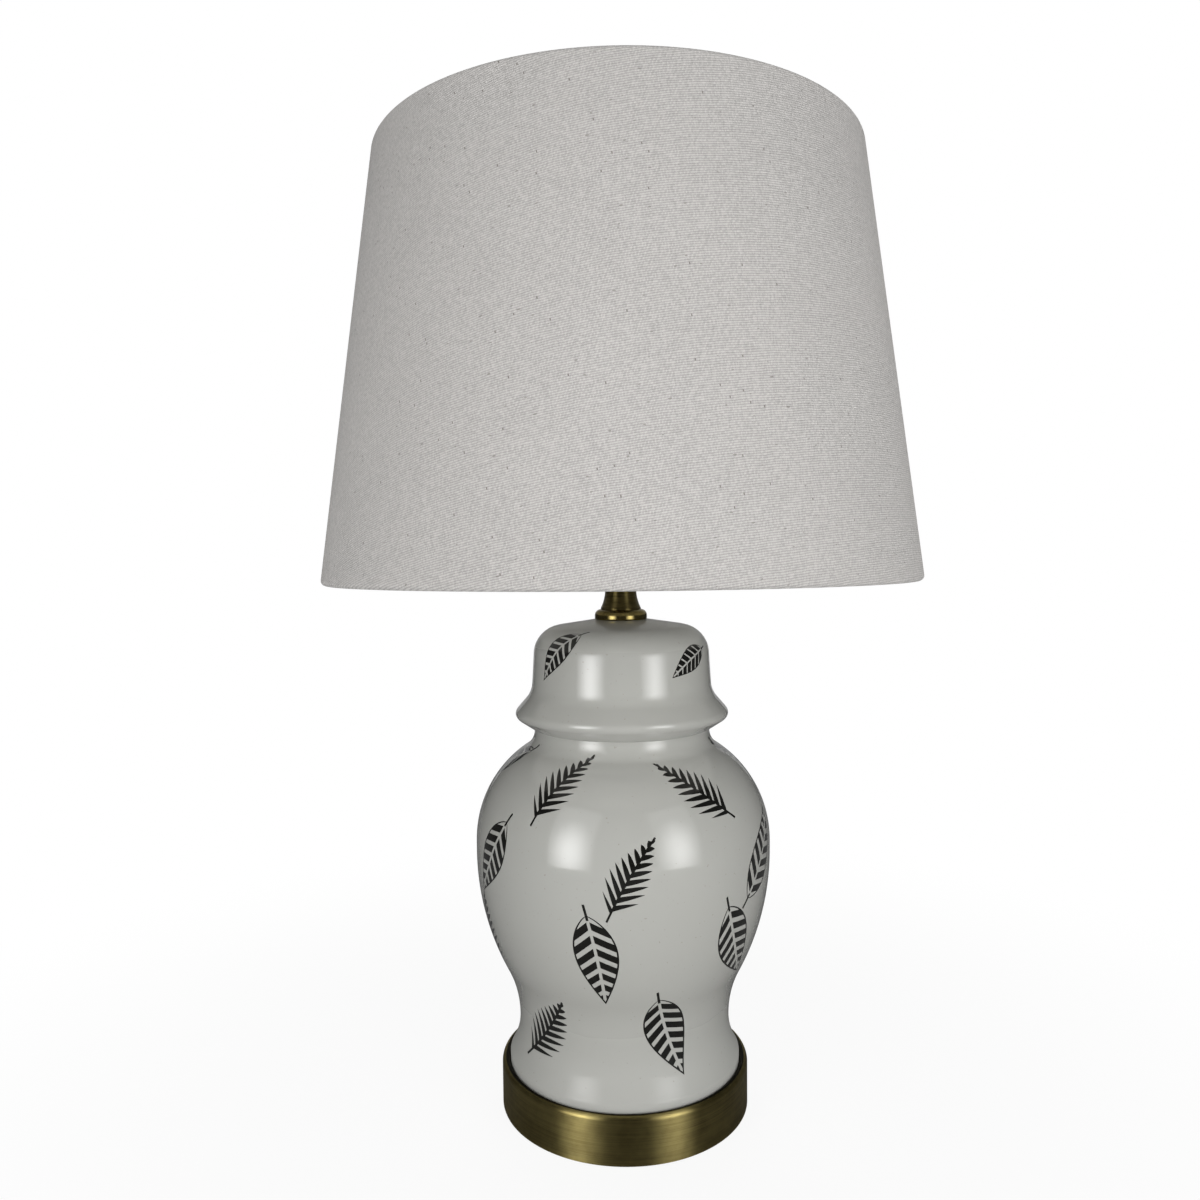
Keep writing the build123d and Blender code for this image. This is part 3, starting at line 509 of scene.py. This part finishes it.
class Section(Path):
    """Half the outline of a turned piece."""

    def __init__(self, radius, height):
        super().__init__(radius, height)
        self.run = self.bm.verts.layers.float.new("run")
        self.first = self.bm.verts.new((radius, 0, height))
        self.tip = [self.first]
        self.rounds = []

    def line(self, radius, height, rounded=0.0):
        """A straight run to a point, whose corner is rounded later by that radius."""
        grown = bmesh.ops.extrude_vert_indiv(self.bm, verts=self.tip)
        self.tip = grown["verts"]
        self.tip[0].co = (radius, 0, height)
        self.here = Vector((radius, height))
        if rounded:
            self.rounds.append((self.tip[0], rounded))
        return self

    def close(self):
        self.bm.edges.new((self.tip[0], self.first))
        return self

    def turn(self, steps=TURN_STEPS):
        """Round the corners, measure along the outline and spin it about the lamp's axis."""
        bm = self.bm
        for corner, radius in self.rounds:
            ways = [edge.other_vert(corner).co - corner.co for edge in corner.link_edges]
            offset = radius / math.tan(ways[0].angle(ways[1]) / 2)
            bmesh.ops.bevel(
                bm, geom=[corner], offset=offset, offset_type="OFFSET", affect="VERTICES",
                segments=8, profile=0.5, material=-1,
            )
        walked = 0.0
        vert, edge = self.first, None
        while True:
            vert[self.run] = walked
            onward = [e for e in vert.link_edges if e is not edge]
            if not onward or onward[0].other_vert(vert) is self.first:
                break
            edge = onward[0]
            walked += edge.calc_length()
            vert = edge.other_vert(vert)
        spin(bm, FULL_TURN, steps, use_merge=True)
        bmesh.ops.remove_doubles(bm, verts=bm.verts, dist=WELD)
        return outward(bm)


def thread(radius, low, high, pitch, depth, steps=40):
    """A rolled screw thread: a wave that climbs as it is spun, cut level at both ends."""
    bm = bmesh.new()
    wave = [bm.verts.new((radius - depth, 0, low - pitch))]
    rolled = (0.22, 0.72), (0.38, 0.12), (0.5, 0.0), (0.62, 0.12), (0.78, 0.72), (1.0, 1.0)
    for share_up, inwards in rolled:
        wave.append(bm.verts.new((radius - depth * inwards, 0, low - pitch * (1 - share_up))))
        bm.edges.new(wave[-2:])
    turns = math.ceil((high - low) / pitch) + 2
    spin(bm, FULL_TURN * turns, steps * turns, dvec=(0, 0, pitch / steps))
    bmesh.ops.remove_doubles(bm, verts=bm.verts, dist=WELD)
    for level, above in ((low, -1), (high, 1)):
        bmesh.ops.bisect_plane(
            bm, geom=all_of(bm), plane_co=(0, 0, level), plane_no=(0, 0, above), clear_outer=True
        )
    return outward(bm)


def thicken(bm, wall):
    """Give an open surface a wall on its inner side."""
    rim = max(bm.faces, key=lambda face: face.calc_center_median().xy.length)
    if rim.normal.xy.dot(rim.calc_center_median().xy) < 0:
        bmesh.ops.reverse_faces(bm, faces=bm.faces[:])
    bmesh.ops.solidify(bm, geom=bm.faces[:], thickness=wall)
    return bm


def unroll(bm, place):
    """Write surface coordinates; place gives them from the angle round the axis and the vertex."""
    layer = bm.loops.layers.uv.new("surface")
    for face in bm.faces:
        middle = face.calc_center_median()
        heading = math.atan2(middle.x, -middle.y)
        for loop in face.loops:
            point = loop.vert.co
            angle = math.atan2(point.x, -point.y)
            angle += FULL_TURN * round((heading - angle) / FULL_TURN)
            loop[layer].uv = place(angle, loop.vert)
    return bm


def unroll_turned(bm):
    """Surface coordinates of a turned piece: the angle, and the way along its outline."""
    run = bm.verts.layers.float["run"]
    return unroll(bm, lambda angle, vert: (angle, vert[run]))


def add(name, data):
    """Add an object to the scene."""
    item = bpy.data.objects.new(name, data)
    bpy.context.scene.collection.objects.link(item)
    return item


def add_mesh(name, bm, *finishes):
    """Add an object made of a bmesh, which is freed."""
    mesh = bpy.data.meshes.new(name)
    bm.to_mesh(mesh)
    bm.free()
    for finish in finishes:
        mesh.materials.append(finish.material)
    return add(name, mesh)


def put(bm, name, body, finish, slot, *nodes):
    """Make a finished piece of a bmesh, on its body, with its finish and the nodes it stands for."""
    for face in bm.faces:
        face.smooth = True
    for edge in bm.edges:
        edge.smooth = edge.calc_face_angle(0) < SHARP
    piece = add_mesh(name, bm, finish)
    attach(piece, body)
    if nodes:
        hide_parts(*nodes)
    return piece


def dress(finish, *nodes):
    """Give CAD nodes that keep their shape a finish."""
    for node in nodes:
        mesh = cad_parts[node].data
        mesh.materials.clear()
        mesh.materials.append(finish.material)


class LAMP_OT_stage(bpy.types.Operator):
    """Set the floor, the lights, the white background and the camera"""

    bl_idname = "lamp.stage"
    bl_label = "Stage"

    def execute(self, context):
        self.world(context)
        self.floor()
        self.cloths()
        for side, power in ((-1, 4.1), (1, 3.2)):
            self.softbox(side, power)
        for place, power in (((0, 1.3, 0.62), 12.0), ((0.42, -1.22, 0.30), 9.0)):
            self.fill(place, power)
        self.camera(context)
        context.scene.view_settings.view_transform = "Standard"
        return {"FINISHED"}

    def world(self, context):
        """A white background for the rays that see it, and a weak even light for the others."""
        world = bpy.data.worlds.new("studio")
        context.scene.world = world
        world.use_nodes = True
        nodes = Nodes(world.node_tree, "Background")
        nodes.feed({"Color": WHITE, "Strength": 0.25})
        nodes.whiten(nodes.seen(), nodes.node("Background", {}, {"Color": WHITE}), "World Output")

    def floor(self):
        """A plain floor, nearly white near the lamp and white away from it."""
        bm = bmesh.new()
        bmesh.ops.create_grid(bm, x_segments=1, y_segments=1, size=8)
        finish = Finish("floor_white", {"Base Color": (0.8, 0.8, 0.8), "Roughness": 0.9})
        add_mesh("floor", bm, finish)
        x, y, _ = finish.split(finish.place())
        far = finish.ramp((x * x + y * y) ** 0.5, 0.15, 0.6)
        glow = finish.node("Emission", {}, {})
        finish.whiten(finish.seen() * (0.91 + far * 0.09), glow, "Material Output")

    def cloths(self):
        """Cloths that only reflections see: dark on the table, in front and above, pale behind."""
        dark = Finish("dark_cloth", {"Base Color": (0.125, 0.125, 0.125), "Roughness": 1.0})
        pale = Finish("pale_cloth", {"Base Color": (0.8, 0.8, 0.8), "Roughness": 1.0})
        near, wall, table, ceiling = 0.0768, 2.4, 0.001, 3.2
        for name, finish, line, start, sweep in (
            ("table_cloth", dark, ((near, table), (wall, table)), 0, 360),
            ("front_cloth", dark, ((wall, table), (wall, ceiling)), 115, 310),
            ("back_cloth", pale, ((wall, table), (wall, ceiling)), 65, 50),
            ("ceiling_cloth", dark, ((0.01, ceiling), (wall, ceiling)), 0, 360),
        ):
            bm = bmesh.new()
            bm.edges.new([bm.verts.new((radius, 0, height)) for radius, height in line])
            spin(bm, math.radians(sweep), 64, math.radians(start))
            cloth = add_mesh(name, bm, finish)
            for rays in ("camera", "diffuse", "shadow", "transmission"):
                setattr(cloth, "visible_" + rays, False)

    def panel(self, name, place, width, height, power):
        """An area light that faces the middle of the lamp and isn't seen by the camera."""
        light = bpy.data.lights.new(name, "AREA")
        light.shape = "RECTANGLE"
        light.size = width
        light.size_y = height
        light.energy = power
        panel = add(name, light)
        panel.location = place
        aim = Vector((0, 0, LAMP_MIDDLE)) - panel.location
        panel.rotation_euler = aim.to_track_quat("-Z", "Y").to_euler()
        panel.visible_camera = False
        return panel

    def softbox(self, side, power):
        """A tall panel in front, to one side, that fades from a bright spot as cloth over a bulb does."""
        light = self.panel("softbox", (0.66 * side, -0.79, 0.52), 0.65, 1.15, power).data
        light.use_nodes = True
        nodes = Nodes(light.node_tree, "Emission")
        spot = (0.5, 0.30, 0)
        place = nodes.node("NewGeometry", {}, {}, "Parametric")
        away = nodes.node("VectorMath", {"operation": "DISTANCE"}, {0: place, 1: spot}, "Value")
        nodes.feed({"Strength": nodes.ramp(away, 0.0, 0.56, 3.3, 0.45)})

    def fill(self, place, power):
        """A wide, weak panel that isn't mirrored."""
        self.panel("fill", place, 1.2, 1.2, power).visible_glossy = False

    def camera(self, context):
        """The camera of the photo, fitted to the rims of the shade and the plinth."""
        data = bpy.data.cameras.new("camera")
        data.sensor_width = 36
        data.lens = 29.34
        camera = add("camera", data)
        tilt = Matrix.Rotation(math.radians(90 - 2.65), 4, "X")
        roll = Matrix.Rotation(math.radians(-0.55), 4, "Z")
        camera.matrix_world = Matrix.Translation((-0.0128, -0.6034, 0.3406)) @ tilt @ roll
        context.scene.camera = camera


class LAMP_OT_base(bpy.types.Operator):
    """Spin the brass plinth and finish what is fixed in it"""

    bl_idname = "lamp.base"
    bl_label = "Base"

    def execute(self, context):
        radius, low, high = outline_of("base_plinth")
        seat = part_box("jar_gasket")[0].z
        lip = 0.0016
        shoulder = 0.003
        rim = radius - lip - shoulder
        # Inside this radius the plinth's brass gets painted shade, near black, where the jar meets the rim.
        crevice = rim + 2 * lip
        section = Section(PIPE_HOLE, seat).line(rim, seat, 0.0006).line(rim, high - lip)
        section.arc(rim + lip, high - lip, math.pi / 2)
        section.arc(rim + lip, high - shoulder, math.pi / 2)
        section.line(radius, low)
        bm = thicken(section.turn(FINE_STEPS), sizes().plinth_wall)
        brass = brass_finish("antique_brass", colours().brass, colours().patina, 0.25, 1.0, crevice)
        plinth = put(bm, "plinth", "lamp", brass, "antique_brass", "base_plinth")
        self.drill(context, plinth)
        for node, *look in (
            ("base_felt", "felt", colours().felt, 0.55, 0.95, 1500, 0.0004),
            ("base_board", "fibreboard", (0.16, 0.10, 0.055), 0.6, 0.85, 900, 0.0002),
            ("jar_gasket", "gasket_rubber", (0.012, 0.012, 0.012), 0.7, 0.7, 700, 0.0001),
            ("cord_bushing", "bushing_nylon", (0.014, 0.014, 0.015), 0.8, 0.42, 900, 0.00004),
        ):
            dress(plain_finish(*look), node)
        return {"FINISHED"}

    def drill(self, context, plinth):
        """Cut the hole for the cord bushing in the rear wall."""
        low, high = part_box("cord_bushing")
        radius, depth = 0.0055, 0.03
        middle = Matrix.Translation((0, low.y, (low.z + high.z) / 2))
        level = Matrix.Rotation(math.pi / 2, 4, "X")
        bm = bmesh.new()
        bmesh.ops.create_cone(
            bm, cap_ends=True, segments=40, radius1=radius, radius2=radius, depth=depth,
            matrix=middle @ level,
        )
        drill = add_mesh("drill", bm)
        cut = plinth.modifiers.new("bushing_hole", "BOOLEAN")
        cut.operation = "DIFFERENCE"
        cut.solver = "EXACT"
        cut.object = drill
        seen = plinth.evaluated_get(context.evaluated_depsgraph_get())
        cut_mesh = bpy.data.meshes.new_from_object(seen)
        plinth.modifiers.clear()
        plinth.data = cut_mesh
        bpy.data.objects.remove(drill)


class LAMP_OT_jar(bpy.types.Operator):
    """Turn the glazed jar and its lid, with leaves printed under the glaze"""

    bl_idname = "lamp.jar"
    bl_label = "Jar and lid"

    def execute(self, context):
        self.jar()
        self.lid()
        return {"FINISHED"}

    def jar(self):
        size = sizes()
        belly, low, high = outline_of("jar_body")
        recess = low + 0.0025
        ring = size.foot_radius - 0.012
        floor_hole, lip, inset = 0.0065, 0.0017, 0.0004
        section = Section(floor_hole, recess).line(ring, recess, 0.001).line(ring, low)
        section.line(size.foot_radius, low, 0.0012).line(size.foot_radius, low + size.foot_band)
        section.ease(size.waist_radius, low + size.waist_height, 16)
        section.sway(belly, low + size.belly_height, size.waist_share, 32)
        section.line(belly, low + size.belly_height + size.belly_band)
        section.sway(size.neck_radius, high - lip, size.shoulder_share, 28)
        section.line(size.neck_radius, high, 0.0008).line(size.neck_radius - size.jar_wall, high)
        bm = thicken(section.turn(FINE_STEPS), size.jar_wall - inset)
        layers = (0.065, 0.1, 2, 0.18), (0.115, 0.1, 2, 0.68)
        glaze = glaze_finish("glaze_jar", size.leaf, size.leaf_columns, *layers)
        put(unroll_turned(bm), "jar", "lamp", glaze, "glaze", "jar_body")

    def lid(self):
        size = sizes()
        _, low, high = outline_of("jar_lid")
        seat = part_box("jar_body")[1].z
        play, plug_wall = 0.0005, 0.004
        plug = size.neck_radius - size.jar_wall - play
        section = Section(plug - plug_wall, low).line(plug, low).line(plug, seat)
        section.line(size.lid_seat, seat)
        for radius, above, rounded in (
            (size.lid_flange, 0.0082, 0.004),
            (size.lid_foot, 0.0222, 0.014),
            (size.lid_shoulder, 0.0604, 0.017),
        ):
            section.line(radius, seat + above, rounded)
        section.line(size.lid_top, high).line(PIPE_HOLE, high)
        bm = thicken(section.turn(160), size.lid_wall)
        layer = (0.0465, 0.050, 1, 0.0)
        glaze = glaze_finish("glaze_lid", size.leaf * 0.74, size.leaf_columns - 2, layer)
        put(unroll_turned(bm), "lid", "lamp", glaze, "glaze", "jar_lid")


class LAMP_OT_neck(bpy.types.Operator):
    """Turn the brass bead and spindle on top of the lid"""

    bl_idname = "lamp.neck"
    bl_label = "Neck"

    def execute(self, context):
        brass = brass_finish("bead_brass", colours().brass, colours().patina, 0.14, 0.5)
        # The spindle's brass is a darker copy of the bead's brass: painted shade for the spindle standing
        # in the lamp shade's shadow.
        dark = brass_finish("spindle_brass_painted_shade", (0.17, 0.135, 0.052), (0.022, 0.017, 0.006), 0.22, 1.0)
        radius, low, high = outline_of("neck_bead")
        section = Section(PIPE_HOLE, low).line(radius, low, 0.0009).line(radius, high, 0.0036)
        section.line(PIPE_HOLE, high).close()
        put(section.turn(), "bead", "lamp", brass, "antique_brass", "neck_bead")
        foot, low, high = outline_of("neck_spindle")
        stem, step, flare, collar = 0.0096, 0.0009, 0.0125, 0.003
        section = Section(PIPE_HOLE, low).line(foot, low).line(foot, low + step)
        section.ease(stem, low + flare, 20)
        section.line(stem, high - collar).line(stem + step, high - collar, 0.0003)
        section.line(stem + step, high, 0.0005).line(PIPE_HOLE, high).close()
        put(section.turn(), "spindle", "lamp", dark, "antique_brass", "neck_spindle")
        return {"FINISHED"}


class LAMP_OT_socket(bpy.types.Operator):
    """Turn the socket's cap, shell and fibre tube and finish what they hold"""

    bl_idname = "lamp.socket"
    bl_label = "Socket"

    def execute(self, context):
        plated = brass_finish("plated_brass", colours().plated, (0.40, 0.27, 0.10), 0.16, 0.35)
        steel = plain_finish("zinc_steel", colours().steel, 0.8, 0.36, 1200, 0.00003, **METAL)
        nickel = plain_finish("socket_metal", (0.62, 0.60, 0.55), 0.85, 0.3, 1200, 0.00003, **METAL)
        fibre = plain_finish("fibre_tube", (0.075, 0.045, 0.026), 0.65, 0.8, 1600, 0.0001)
        painted_shade = plain_finish("phenolic", (0.012, 0.010, 0.009), 0.7, 0.34, 500, 0.00004)
        dress(plated, "switch_collar", "switch_shaft", "terminal_screws")
        dress(steel, "neck_nut", "harp_saddle", "base_nut", "base_washer", "lamp_pipe")
        dress(nickel, "screw_shell", "centre_contact")
        dress(painted_shade, "socket_core", "switch_knob")
        radius, low, high = outline_of("socket_cap")
        hole, hub, hub_height, wall = 0.00505, 0.008, 0.003, 0.0009
        bowl = radius - hub
        section = Section(hole, low).line(hub, low, 0.0005).line(hub, low + hub_height)
        section.arc(hub, low + hub_height + bowl, -math.pi / 2, 16)
        for inwards, below in ((0, 0.0016), (0.0005, 0.0011), (0, 0.0006), (0.0003, 0)):
            section.line(radius - inwards, high - below)
        put(thicken(section.turn(), wall), "socket_bowl", "lamp", plated, "plated_brass", "socket_cap")
        _, low, high = outline_of("socket_shell")
        radius -= 0.0012
        wall, lip = 0.0006, 0.0004
        section = Section(radius, low)
        for bead, bulge in ((0.0126, 0.0006), (0.00145, 0.00125)):
            section.line(radius, high - bead - bulge).arc(radius, high - bead, -math.pi, 12)
        section.line(radius - lip, high)
        put(thicken(section.turn(), wall), "socket_sleeve", "lamp", plated, "plated_brass", "socket_shell")
        radius, low, high = outline_of("socket_insulator")
        inner = radius - 0.0008
        section = Section(radius, low).line(radius, high, 0.0002).line(inner, high, 0.0002)
        section.line(inner, low).close()
        put(section.turn(), "socket_tube", "lamp", fibre, "fibre_tube", "socket_insulator")
        return {"FINISHED"}


class LAMP_OT_bulb(bpy.types.Operator):
    """Turn the bulb: globe, housing, threaded cap and contact"""

    bl_idname = "lamp.bulb"
    bl_label = "Bulb"

    def execute(self, context):
        opal = plain_finish("bulb_opal", colours().opal, 0.97, 0.3, 500, 0.00001)
        white = plain_finish("bulb_white", colours().housing, 0.95, 0.38, 700, 0.00003)
        nickel = plain_finish("bulb_cap_metal", (0.66, 0.65, 0.62), 0.82, 0.26, 1200, 0.00003, **METAL)
        painted_shade = plain_finish("bulb_insulator", (0.012, 0.011, 0.012), 0.8, 0.3, 700, 0.00002)
        dress(nickel, "bulb_contact")
        dress(painted_shade, "bulb_insulator")
        widest, seam, crown = outline_of("bulb_globe")
        rim, collar, _ = outline_of("bulb_housing")
        middle = crown - widest
        section = Section(rim, seam).ease(widest, middle, 6).arc(0, middle, -math.pi / 2, 20)
        glass, plastic = 0.0012, 0.0011
        put(thicken(section.turn(), glass), "globe", "bulb", opal, "bulb_opal", "bulb_globe")
        foot, rim_band, gap = 0.0145, 0.0015, 0.0002
        waist = collar + 0.0025
        flare = rim - foot
        climb = seam - waist - rim_band
        bend = (flare * flare + climb * climb) / (2 * flare)
        section = Section(foot - 0.0012, collar).line(foot, collar, 0.0004).line(foot, waist)
        section.arc(foot + bend, waist, 2 * math.atan2(flare, climb), 20).line(rim, seam - gap)
        put(thicken(section.turn(), plastic), "housing", "bulb", white, "bulb_white", "bulb_housing")
        radius, low, high = outline_of("bulb_cap")
        wall, groove = 0.0004, radius - 0.0015
        bm = thread(radius, low + 0.004, high - 0.0026, pitch=0.0036, depth=0.0011)
        put(thicken(bm, wall), "bulb_screw", "bulb", nickel, "socket_metal")
        mouth, lower, step = 0.0080, radius - 0.0005, low + 0.0042
        section = Section(mouth, low).line(lower, low, 0.0016).line(lower, step).line(groove, step)
        put(thicken(section.turn(), wall), "bulb_screw_foot", "bulb", nickel, "socket_metal", "bulb_cap")
        upper, step = radius - 0.0002, high - 0.0028
        section = Section(groove, step).line(upper, step).line(upper, high)
        put(thicken(section.turn(), wall), "bulb_screw_band", "bulb", nickel, "socket_metal")
        return {"FINISHED"}


class LAMP_OT_harp(bpy.types.Operator):
    """Bend the harp and turn its boss, its sleeves and its swivel stud"""

    bl_idname = "lamp.harp"
    bl_label = "Harp"

    def execute(self, context):
        plated = plain_finish("harp_brass", colours().plated, 0.72, 0.26, 900, 0.00002, **METAL)
        low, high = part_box("harp_wire")
        wire, boss, leg, straight, flat = 0.0017, 0.003, 0.035, 0.032, 0.012
        widest = high.x - wire
        top = high.z - boss
        bow = widest - flat
        rod = Rod(leg, low.z, wire).line(leg, low.z + straight).sway(widest, top - bow, 0.5)
        bm = rod.arc(flat, top - bow, -math.pi / 2, 24).line(0, top).bm
        bmesh.ops.mirror(bm, geom=all_of(bm), axis="X", merge_dist=0.1 * wire)
        put(rod.capped(), "harp_bow", "harp", plated, "plated_brass", "harp_wire")
        bore, width, edge = 0.00265, 0.0065, 0.0008
        section = Section(bore, top - boss).line(width, top - boss, edge).line(width, top + boss, edge)
        section.line(bore, top + boss).close()
        put(section.turn(64), "harp_boss", "harp", plated, "plated_brass")
        for name in ("ferrule_left", "ferrule_right"):
            self.sleeve(name, plated)
        self.stud(plated)
        return {"FINISHED"}

    def sleeve(self, node, plated):
        """A drawn sleeve, pinched in the middle and rolled at both ends."""
        radius, low, high = outline_of(node)
        bore, waist = radius - 0.0011, radius - 0.0003
        roll, taper, edge = 0.0022, 0.003, 0.0005
        section = Section(bore, low).line(radius, low, edge).line(radius, low + roll)
        section.line(waist, low + taper).line(waist, high - taper).line(radius, high - roll)
        section.line(radius, high, edge).line(bore, high).close()
        bm = section.turn(48)
        left, right = (corner.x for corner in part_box(node))
        bmesh.ops.translate(bm, verts=bm.verts, vec=((left + right) / 2, 0, 0))
        put(bm, node + "_sleeve", node, plated, "plated_brass", node)

    def stud(self, plated):
        """The rivet, the shoulder and the thread of the stud."""
        shoulder, low, high = outline_of("harp_stud")
        seat = high - STUD_THREAD
        rivet, shank, core = 0.0042, 0.0026, 0.0025
        head, under = low + 0.0016, seat - 0.002
        section = Section(0, low).line(rivet, low, 0.0010).line(rivet, head)
        section.line(shank, head).line(shank, under)
        section.line(shoulder, under, 0.0006).line(shoulder, seat, 0.0006)
        section.line(core, seat).line(core, high - 0.0008).line(0.0018, high, 0.0004).line(0, high)
        put(section.turn(64), "stud", "stud", plated, "plated_brass", "harp_stud")
        bm = thread(0.003, seat + 0.0004, high - 0.001, pitch=0.0009, depth=0.0005, steps=32)
        put(thicken(bm, 0.0003), "stud_thread", "stud", plated, "plated_brass")


class LAMP_OT_shade(bpy.types.Operator):
    """Sew the linen cover over its rings, with its lining and back seam"""

    bl_idname = "lamp.shade"
    bl_label = "Shade"

    def execute(self, context):
        size = sizes()
        steel = plain_finish("fitter_steel", colours().steel, 0.8, 0.34, 1200, 0.00003, **METAL)
        self.fitter(steel)
        self.liner(plain_finish("lining", colours().lining, 0.95, 0.6, 900, 0.00006))
        linen = linen_finish("linen")
        cover_turn, lap_turn = 1.5 * math.pi, 1.1 * math.pi
        cover_bm = thicken(self.wrap(size.hem, cover_turn).turn(FINE_STEPS), size.fabric)
        cover = put(self.lay_flat(cover_bm), "shade_cover", "shade", linen, "linen", "shade_fabric")
        half = size.seam / (size.shade_bottom + size.shade_top)
        proud = 0.0007
        lap_bm = self.wrap(size.hem + proud, lap_turn).bm
        spin(lap_bm, 2 * half, 6, math.pi / 2 - half)
        thicken(outward(lap_bm), size.fabric)
        lap = put(self.lay_flat(lap_bm), "shade_seam", "shade", linen, "linen")
        return {"FINISHED"}

    def fitter(self, steel):
        """The hub, three arms, and the two rings of wire."""
        lower, upper = self.rings()
        wire, bar, bend = 0.0019, 0.0017, 0.009
        for name, ring, node in (
            ("ring_top", upper, "shade_spider"),
            ("ring_bottom", lower, "shade_bottom_ring"),
        ):
            section = Section(ring.x + wire, ring.y).arc(ring.x, ring.y, -FULL_TURN, 20)
            put(section.turn(FINE_STEPS), name, "shade", steel, "zinc_steel", node)
        hub, bore = 0.0138, 0.0033
        hub_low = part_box("harp_stud")[1].z - STUD_THREAD
        hub_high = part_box("finial")[0].z
        section = Section(bore, hub_low).line(hub, hub_low, 0.0005).line(hub, hub_high, 0.0008)
        section.line(bore, hub_high).close()
        put(section.turn(64), "spider_hub", "shade", steel, "zinc_steel")
        level = (hub_low + hub_high) / 2
        knee = upper.x - 0.026
        rise = math.atan2(upper.y - level, upper.x - knee)
        before = bend * math.tan(rise / 2)
        rod = Rod(hub - 0.004, level, bar, math.pi / 2).line(knee - before, level)
        bm = rod.arc(knee - before, level + bend, -rise, 12).line(upper.x, upper.y).capped()
        spin(bm, FULL_TURN * 2 / 3, 2, math.pi / 2, use_duplicate=True)
        put(bm, "spider_arms", "shade", steel, "zinc_steel")

    def liner(self, finish):
        """The stiff lining between the two hems."""
        out, up, corner, slant = self.lean()
        size = sizes()
        gap, wall = 0.0001, 0.0005
        face = corner - out * (size.fabric + gap)
        low = face + up * (2 * size.hem + gap)
        high = face + up * (slant - 2 * size.hem - gap)
        bm = thicken(Section(*low).line(*high).turn(FINE_STEPS), wall)
        put(bm, "shade_liner", "shade", finish, "lining", "shade_lining")

    def lean(self):
        """Directions out of the wall and up it, in radius and height, its lower corner and its length."""
        size = sizes()
        run = size.shade_bottom - size.shade_top
        slant = math.hypot(run, size.shade_height)
        out = Vector((size.shade_height, run)) / slant
        up = Vector((-run, size.shade_height)) / slant
        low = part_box("shade_fabric")[0].z
        corner = Vector((size.shade_bottom, low + size.hem * (1 + out.y - up.y)))
        return out, up, corner, slant

    def rings(self):
        """Middles of the lower and the upper ring's wire, in radius and height."""
        out, up, corner, slant = self.lean()
        hem = sizes().hem
        lower = corner - out * hem + up * hem
        upper = corner - out * hem + up * (slant - hem)
        return lower, upper

    def wrap(self, roll, turn):
        """The cover's outline: rolled round the lower ring, up the wall and round the upper ring."""
        out = self.lean()[0]
        lower, upper = self.rings()
        section = Section(*(lower + Matrix.Rotation(-turn, 2) @ out * roll))
        section.arc(lower.x, lower.y, -turn, 24)
        top = upper + out * roll
        section.line(top.x, top.y)
        return section.arc(upper.x, upper.y, -turn, 24)

    def lay_flat(self, bm):
        """Surface coordinates on the flat cut, a slice of a ring, so that threads run straight in it."""
        _, up, corner, _ = self.lean()
        narrowing = -up.x
        apex = corner.y + corner.x * up.y / narrowing

        def flat(angle, vert):
            reach = math.hypot(math.hypot(vert.co.x, vert.co.y), apex - vert.co.z)
            return reach * math.sin(angle * narrowing), -reach * math.cos(angle * narrowing)

        return unroll(bm, flat)


class LAMP_OT_finial(bpy.types.Operator):
    """Turn the finial that holds the shade"""

    bl_idname = "lamp.finial"
    bl_label = "Finial"

    def execute(self, context):
        brass = brass_finish("finial_brass", colours().brass, colours().patina, 0.22, 0.5)
        foot, low, high = outline_of("finial")
        ball, stem, tip, bore = 0.0085, 0.0056, 0.003, 0.0032
        neck = low + 0.0094
        start = math.acos(stem / ball)
        end = math.acos(tip / ball)
        middle = neck + ball * math.sin(start)
        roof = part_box("harp_stud")[1].z + 0.0003
        collar, groove = neck - 0.0036, neck - 0.0018
        section = Section(0, roof).line(bore, roof)
        flange, proud = low + 0.0024, stem + 0.0009
        section.line(bore, low).line(foot, low, 0.0003).line(foot, flange, 0.0011)
        section.line(stem, flange, 0.0008).line(stem, collar)
        section.line(proud, collar, 0.0004).line(proud, groove, 0.0004)
        section.line(stem, groove).line(stem, neck)
        section.arc(0, middle, -start - end, 32)
        section.line(tip, high, 0.0014).line(0, high)
        put(section.turn(96), "finial_knob", "finial", brass, "antique_brass", "finial")
        return {"FINISHED"}


class LAMP_PT_panel(bpy.types.Panel):
    """Lists the lamp's pieces, sizes and colours in the sidebar"""

    bl_label = "Ceramic table lamp"
    bl_idname = "LAMP_PT_panel"
    bl_space_type = "VIEW_3D"
    bl_region_type = "UI"
    bl_category = "Lamp"

    def draw(self, context):
        for operator in OPERATORS:
            self.layout.operator(operator.bl_idname)
        for group in (context.scene.lamp_sizes, context.scene.lamp_colours):
            box = self.layout.box()
            for name in type(group).__annotations__:
                box.prop(group, name, text=name.replace("_", " ").capitalize())


OPERATORS = (
    LAMP_OT_stage,
    LAMP_OT_base,
    LAMP_OT_jar,
    LAMP_OT_neck,
    LAMP_OT_socket,
    LAMP_OT_bulb,
    LAMP_OT_harp,
    LAMP_OT_shade,
    LAMP_OT_finial,
)
CLASSES = (LampSizes, LampColours, *OPERATORS, LAMP_PT_panel)


def register():
    for item in CLASSES:
        bpy.utils.register_class(item)
    bpy.types.Scene.lamp_sizes = PointerProperty(type=LampSizes)
    bpy.types.Scene.lamp_colours = PointerProperty(type=LampColours)


def unregister():
    del bpy.types.Scene.lamp_colours
    del bpy.types.Scene.lamp_sizes
    for item in reversed(CLASSES):
        bpy.utils.unregister_class(item)


def main():
    register()
    for operator in OPERATORS:
        group, name = operator.bl_idname.split(".")
        getattr(getattr(bpy.ops, group), name)()


if __name__ == "__main__":
    main()
